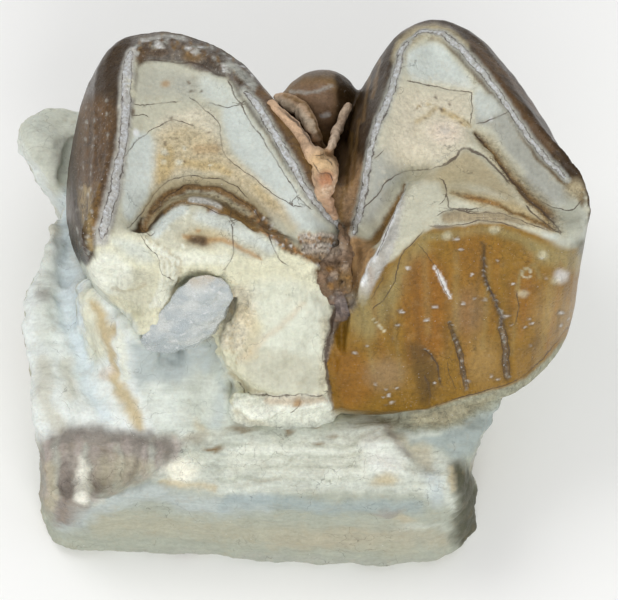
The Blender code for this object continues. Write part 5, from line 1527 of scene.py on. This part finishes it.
class FOSSIL_OT_jaw_bone(bpy.types.Operator):
    """Make the pale jaw bone with its ledge, recess, ridged left end and stains, with painted shade in the
    recess, along a groove and at the right end
    """

    bl_idname = "fossil.jaw_bone"
    bl_label = "Jaw bone"

    def execute(self, context):
        c = context.scene.fossil_paint
        under_silica = [
            (-7.4, 1.0), (-6.75, 0.35), (-6.2, -0.1), (-5.5, -0.6), (-5.2, -0.9), (-4.8, -1.25),
            (-4.1, -1.35), (-3.3, -1.15), (-2.95, -1.6), (-2.5, -2.5), (-2.4, -3.4), (-2.6, -4.3),
            (-3.8, -4.6), (-5.2, -4.2), (-6.2, -3.2), (-7.0, -1.8), (-7.4, -0.4),
        ]
        under_boss = [
            (-2.9, -3.5), (-2.3, -3.9), (-1.2, -3.9), (0.0, -3.8), (0.8, -3.7), (1.1, -4.4), (0.4, -4.9),
            (-1.2, -5.0), (-2.6, -4.8),
        ]
        neck = [
            (0.8, -3.65), (1.7, -3.6), (2.6, -3.55), (3.6, -3.4), (4.6, -3.15), (5.4, -2.9), (5.9, -2.75),
            (5.6, -3.1), (5.2, -3.7), (4.7, -4.3), (3.8, -4.8), (2.4, -4.7), (1.0, -4.5),
        ]
        lip = [
            (-5.2, -1.3), (-4.3, -1.5), (-3.4, -1.35), (-3.0, -1.8), (-3.3, -2.6), (-4.3, -2.8),
            (-5.1, -2.4),
        ]
        gaps = ((lip, 0.15), (under_silica, -0.02), (under_boss, 0.12), (neck, -0.06))
        lumps = [lump for gap, lift in gaps for lump in bridge(gap, lift=lift)]
        obj = fine_copy("jaw_bone", "fossil_bone", context.scene.fossil_mesh.bone_voxel / MM, 8, lumps)
        s = Surface(obj, c.bone, gloss=0.35, grain=0.25, wobble=0.12)
        bone_ground(s, c)
        mark_bone(s, c)
        s.rise *= soft_step(0.0, 0.5, s.points[:, 2])
        s.write()
        material = stone_material("Fossil bone", streak=(0.35, 2.0, 2.0), glow=0.06, bump=0.8)
        finish_piece(obj, material, "bone", "jaw_bone")
        return {"FINISHED"}


def strand(route, sizes):
    """A row of lumps along a route over the surface, each place with how far it is brought forward."""
    route = curve(route, steps=8)
    halves = np.interp(np.linspace(0, 1, len(route)), np.linspace(0, 1, len(sizes)), sizes)
    depths = depths_at(route[:, :2]) + route[:, 2]
    smooth = np.convolve(np.pad(depths, 4, mode="edge"), np.ones(9) / 9, mode="valid")
    places = np.array([tuple(point_at(place, depth)) for place, depth in zip(route[:, :2], smooth)])
    travelled = np.concatenate(([0.0], np.cumsum(np.linalg.norm(np.diff(places, axis=0), axis=1))))
    marks = np.arange(0.0, travelled[-1], STRAND_SPACING)
    even = np.stack([np.interp(marks, travelled, places[:, axis]) for axis in range(3)], 1)
    return [(place, (half,) * 3) for place, half in zip(even, np.interp(marks, travelled, halves))]


def fuse(lumps, name, voxel, smoothing):
    """One mesh with an even skin round all the given lumps."""
    obj = new_piece(name, bpy.data.meshes.new(name))
    add_lumps(obj, lumps)
    return even_skin(obj, voxel, smoothing)


class FOSSIL_OT_notch_sediment(bpy.types.Operator):
    """Make the tan strands and nodule of sediment in the notch between the lobes"""

    bl_idname = "fossil.notch_sediment"
    bl_label = "Notch sediment"

    def execute(self, context):
        c = context.scene.fossil_paint
        strands = (
            ([(-0.95, 6.3, 0.25), (-0.55, 6.15, 0.3), (-0.15, 5.85, 0.32), (0.1, 5.3, 0.35), (0.32, 4.6, 0.35)],
             (0.17, 0.27, 0.25, 0.22, 0.24)),
            ([(-1.2, 6.15, 0.08), (-0.8, 5.75, 0.12), (-0.5, 5.4, 0.15), (-0.1, 4.85, 0.2), (0.1, 4.4, 0.25)],
             (0.12, 0.2, 0.24, 0.22, 0.18)),
            ([(1.22, 6.05, 0.15), (1.0, 5.6, 0.2), (0.8, 5.1, 0.2), (0.62, 4.6, 0.3), (0.5, 4.25, 0.35)],
             (0.13, 0.16, 0.13, 0.12, 0.14)),
            ([(0.15, 4.5, 0.25), (0.42, 4.2, 0.3), (0.5, 3.8, 0.3), (0.55, 3.4, 0.1)],
             (0.28, 0.46, 0.4, 0.22)),
            ([(0.12, 4.25, 0.45), (0.65, 4.3, 0.45)], (0.25, 0.25)),
            ([(0.4, 3.4, 0.08), (0.6, 3.0, 0.06), (0.8, 2.6, 0.0)], (0.25, 0.2, 0.12)),
        )
        lumps = [lump for row in strands for lump in strand(*row)]
        obj = fuse(lumps, "notch_sediment", context.scene.fossil_mesh.lump_voxel / MM, 4)
        s = Surface(obj, (0.54, 0.37, 0.24), gloss=0.45, grain=0.5)
        s.rise += 0.07 * noise_at(s.points, 3.2, 2.0, 4)
        s.stroke([(-0.95, 6.25), (-0.45, 5.95), (0.0, 5.5), (0.35, 5.0)], 0.12, (0.6, 0.48, 0.35), 0.8,
                 glint=0.06)
        s.stroke([(1.1, 6.0), (0.95, 5.6), (0.7, 4.9)], 0.2, (0.7, 0.54, 0.4), 0.5)
        s.stroke([(-1.2, 6.2), (-0.7, 5.7), (-0.3, 5.1)], 0.15, (0.62, 0.42, 0.27), 0.7, 0.7)
        speckle(s, [(0.3, 4.2), (0.5, 3.7), (0.6, 3.2), (0.8, 2.7)], 0.3, 60, 0.05,
                ((0.75, 0.6, 0.45), c.rust, c.umber, (0.5, 0.3, 0.16), c.painted_highlight_white), 0.75)
        s.spot((0.4, 4.3), (0.45, 0.35), (0.68, 0.47, 0.25), 0.8)
        s.spot((0.5, 3.8), (0.25, 0.25), (0.36, 0.13, 0.05), 0.8)
        s.spot((0.75, 3.0), (0.3, 0.4), (0.4, 0.24, 0.15), 0.8, glint=0.3)
        s.crack([(-1.0, 6.05), (-0.5, 5.65), (-0.1, 5.25), (0.15, 4.8)], 0.03)
        s.stroke([(-0.75, 6.4), (-0.1, 6.1), (0.25, 5.4), (0.5, 4.7)], 0.06, c.hollow, 0.8, 0.8)
        s.crack([(0.2, 4.55), (0.5, 4.5), (0.75, 4.2)], 0.016)
        s.crack([(0.1, 4.3), (0.3, 4.0), (0.6, 3.95), (0.75, 3.7)], 0.016)
        s.write()
        finish_piece(obj, stone_material("Orange sediment", bump=1.5), "sediment", "notch_matrix")
        return {"FINISHED"}


class FOSSIL_OT_valley_sediment(bpy.types.Operator):
    """Make the dark crumbly sediment in the cross valley of the tooth"""

    bl_idname = "fossil.valley_sediment"
    bl_label = "Valley sediment"

    def execute(self, context):
        c = context.scene.fossil_paint
        lumps = strand([(0.95, 2.4, -0.05), (1.1, 1.9, -0.02), (1.2, 1.3, -0.04), (1.25, 0.7, -0.04),
                       (1.22, 0.1, 0.0), (1.1, -0.5, -0.04)], (0.08, 0.14, 0.15, 0.16, 0.2, 0.12))
        fill = [
            (0.3, 1.0), (0.6, 1.3), (1.05, 1.6), (1.2, 1.9), (1.3, 1.5), (1.38, 0.9), (1.4, 0.2),
            (1.3, -0.4), (0.95, -0.5), (0.7, -0.2), (0.5, 0.4),
        ]
        lumps += bridge(fill, size=0.22, spacing=0.1, lift=-0.06)
        turns = np.arange(34)
        reach = 0.12 + 0.03 * (turns % 7)
        across = 1.1 + 1.2 * reach * np.cos(2.4 * turns)
        up = 1.9 - 0.07 * turns + reach * np.sin(2.4 * turns)
        crumbs = np.stack((across, up), 1)
        for turn, place, depth in zip(turns, crumbs, depths_at(crumbs)):
            size = 0.06 + 0.015 * (turn % 4)
            lumps.append((point_at(place, depth), (size, 1.2 * size, 0.9 * size)))
        obj = fuse(lumps, "valley_sediment", context.scene.fossil_mesh.lump_voxel / MM, 5)
        s = Surface(obj, (0.2, 0.13, 0.08), gloss=0.45, grain=1.0)
        s.glint += 0.12
        s.rise += 0.13 * noise_at(s.points, 2.6, 5.0, 4)
        s.spot((0.5, 1.6), (0.5, 0.3), (0.5, 0.42, 0.34), 0.8)
        for step in range(26):
            place = (0.95 + 0.3 * sin(step * 2.4), 1.1 - 0.065 * step)
            tone = (c.umber, (0.45, 0.36, 0.28), c.rust, c.line)[step % 4]
            s.spot(place, 0.07 + 0.02 * (step % 3), tone, 0.8)
        s.spot((1.2, 0.6), (0.4, 0.4), c.hollow, 0.7)
        s.spot((1.05, -0.2), (0.4, 0.4), (0.2, 0.17, 0.17), 0.8, glint=0.2)
        s.write()
        finish_piece(obj, stone_material("Brown sediment", bump=1.5), "sediment", "valley_matrix")
        return {"FINISHED"}


def silica_material():
    """Cloudy, glassy blue-grey silica with bright chips and a stained upper edge."""
    n = Nodes("Blue-grey silica")
    place = n.millimetres()
    cloud = n.noise(place, 1.4, 5.0)
    fine = n.noise(place, 8.0, 5.0, 0.6)
    chips = n.noise(n.millimetres((1.0, 2.2, 1.2)), 3.2, 4.0, 0.7)
    colour = n.mix(n.range(cloud, 0.35, 0.65), (0.52, 0.58, 0.6, 1.0), (0.76, 0.79, 0.77, 1.0))
    height = n.tree.nodes.new("ShaderNodeSeparateXYZ")
    n.join(place, height.inputs[0])
    stain = n.times(n.range(height.outputs[2], 10.1, 10.6), n.range(cloud, 0.3, 0.55))
    colour = n.mix(stain, colour, (0.66, 0.58, 0.46, 1.0))
    colour = n.mix(n.range(chips, 0.6, 0.63, 0.0, 0.85), colour, (0.93, 0.95, 0.96, 1.0))
    n.join(colour, n.shader.inputs["Base Color"])
    n.join(n.range(fine, 0.3, 0.7, 0.1, 0.4), n.shader.inputs["Roughness"])
    n.shader.inputs["Transmission Weight"].default_value = 0.3
    n.shader.inputs["IOR"].default_value = 1.54
    n.shader.inputs["Coat Weight"].default_value = 0.5
    n.shader.inputs["Coat Roughness"].default_value = 0.1
    n.bump(n.plus(n.times(fine, 0.4), n.times(chips, 1.5)), 0.5, 0.1)
    return n.material


class FOSSIL_OT_silica(bpy.types.Operator):
    """Make the glassy blue-grey lump of silica in the break"""

    bl_idname = "fossil.silica"
    bl_label = "Silica"

    def execute(self, context):
        edge = [
            (-2.4, 0.1), (-2.45, 0.45), (-2.7, 0.7), (-3.2, 0.82), (-3.7, 0.72), (-4.1, 0.35), (-4.4, -0.1),
            (-4.75, -0.5), (-5.15, -1.0), (-5.3, -1.3), (-5.1, -1.6), (-4.3, -1.6), (-3.6, -1.5),
            (-3.0, -1.05), (-2.6, -0.45),
        ]
        crest = [
            (-2.9, 0.2), (-3.5, 0.35), (-4.0, -0.1), (-4.75, -0.95), (-4.7, -1.35), (-3.9, -1.0),
            (-3.15, -0.6),
        ]
        shape = bmesh.new()
        for outline, forward in ((edge, 0.0), (crest, 0.3), (edge, -1.1)):
            for across, up in outline:
                height = 9.8 + 1.5 * (up - 0.2)
                place = point_seen_at(across, up, height) + forward * SIGHT
                shape.verts.new(place)
        bmesh.ops.convex_hull(shape, input=shape.verts)
        mesh = bpy.data.meshes.new("glassy_silica")
        shape.to_mesh(mesh)
        shape.free()
        obj = even_skin(new_piece("glassy_silica", mesh), context.scene.fossil_mesh.lump_voxel / MM, 5)
        points, normals = read_mesh(obj)
        chips = np.minimum(cell_edges(points, 0.9, 4.0), 0.7)
        moved = points + normals * (0.14 * (chips - 0.3) + 0.03 * noise_at(points, 3.0, 1.0, 3))[:, None]
        write_points(obj.data, moved)
        obj.data.update()
        finish_piece(obj, silica_material(), "silica", "silica_fill")
        return {"FINISHED"}


class StageSettings(bpy.types.PropertyGroup):
    """Floor and light"""

    floor_size: length("Floor size", "Side of the square floor", 600.0)
    floor_colour: paint("Floor", "Plain pale floor", (0.93, 0.93, 0.92))
    key_power: power("Key light", "Power of the large light above", 0.06)
    fill_power: power("Fill light", "Power of the light in front", 0.13)
    sky_strength: bpy.props.FloatProperty(
        name="Sky", description="Strength of the even light from all around", default=0.68, min=0.0
    )


def add_light(name, place, aim, size, power):
    bpy.ops.object.light_add(type="AREA", location=Vector(place) * MM)
    light = bpy.context.active_object
    light.name = name
    light.data.shape = "DISK"
    light.data.size = size * MM
    light.data.energy = power
    light.rotation_euler = (Vector(place) - Vector(aim)).to_track_quat("Z", "Y").to_euler()
    return light


class FOSSIL_OT_stage(bpy.types.Operator):
    """Set the pale floor, the soft lights and the camera at the photograph's angle"""

    bl_idname = "fossil.stage"
    bl_label = "Stage"

    def execute(self, context):
        settings = context.scene.fossil_stage
        bpy.ops.mesh.primitive_plane_add(size=settings.floor_size, location=(0, 0, 0))
        floor = context.active_object
        floor.name = "floor"
        material = bpy.data.materials.new("Pale floor")
        material.use_nodes = True
        shader = material.node_tree.nodes["Principled BSDF"]
        shader.inputs["Base Color"].default_value = (*settings.floor_colour, 1.0)
        shader.inputs["Roughness"].default_value = 0.9
        floor.data.materials.append(material)

        world = bpy.data.worlds.new("Soft sky")
        world.use_nodes = True
        background = world.node_tree.nodes["Background"]
        background.inputs["Color"].default_value = (1.0, 1.0, 1.0, 1.0)
        background.inputs["Strength"].default_value = settings.sky_strength
        context.scene.world = world

        middle = (0.0, 0.0, 7.0)
        add_light("key", (-70.0, 30.0, 150.0), middle, 90.0, settings.key_power)
        add_light("fill", (20.0, -150.0, 105.0), middle, 110.0, settings.fill_power)

        bpy.ops.object.camera_add(location=tuple(EYE * MM))
        camera = context.active_object
        camera.rotation_euler = Vector(SIGHT).to_track_quat("Z", "Y").to_euler()
        camera.data.sensor_width = SENSOR_WIDTH
        camera.data.lens = SENSOR_WIDTH * SIGHT_DISTANCE * PIXELS_PER_MM / PHOTO_WIDTH
        camera.data.clip_start = MM
        camera.data.clip_end = 10.0
        context.scene.camera = camera
        context.scene.view_settings.view_transform = "Standard"
        return {"FINISHED"}


class FOSSIL_PT_panel(bpy.types.Panel):
    """Lists the pieces of the fossil"""

    bl_label = "Oreodont jaw section"
    bl_idname = "FOSSIL_PT_panel"
    bl_space_type = "VIEW_3D"
    bl_region_type = "UI"
    bl_category = "Fossil"

    def draw(self, context):
        for operator in OPERATORS:
            self.layout.operator(operator.bl_idname)


SETTINGS = {"fossil_paint": PaintSettings, "fossil_mesh": MeshSettings, "fossil_stage": StageSettings}
OPERATORS = (FOSSIL_OT_jaw_bone, FOSSIL_OT_molar, FOSSIL_OT_notch_sediment, FOSSIL_OT_valley_sediment,
             FOSSIL_OT_silica, FOSSIL_OT_stage)


def register():
    for name, settings in SETTINGS.items():
        bpy.utils.register_class(settings)
        setattr(bpy.types.Scene, name, bpy.props.PointerProperty(type=settings))
    for operator in OPERATORS:
        bpy.utils.register_class(operator)
    bpy.utils.register_class(FOSSIL_PT_panel)


def unregister():
    bpy.utils.unregister_class(FOSSIL_PT_panel)
    for operator in reversed(OPERATORS):
        bpy.utils.unregister_class(operator)
    for name, settings in SETTINGS.items():
        delattr(bpy.types.Scene, name)
        bpy.utils.unregister_class(settings)


def main():
    register()
    bpy.ops.fossil.jaw_bone()
    bpy.ops.fossil.molar()
    bpy.ops.fossil.notch_sediment()
    bpy.ops.fossil.valley_sediment()
    bpy.ops.fossil.silica()
    bpy.ops.fossil.stage()


if __name__ == "__main__":
    main()
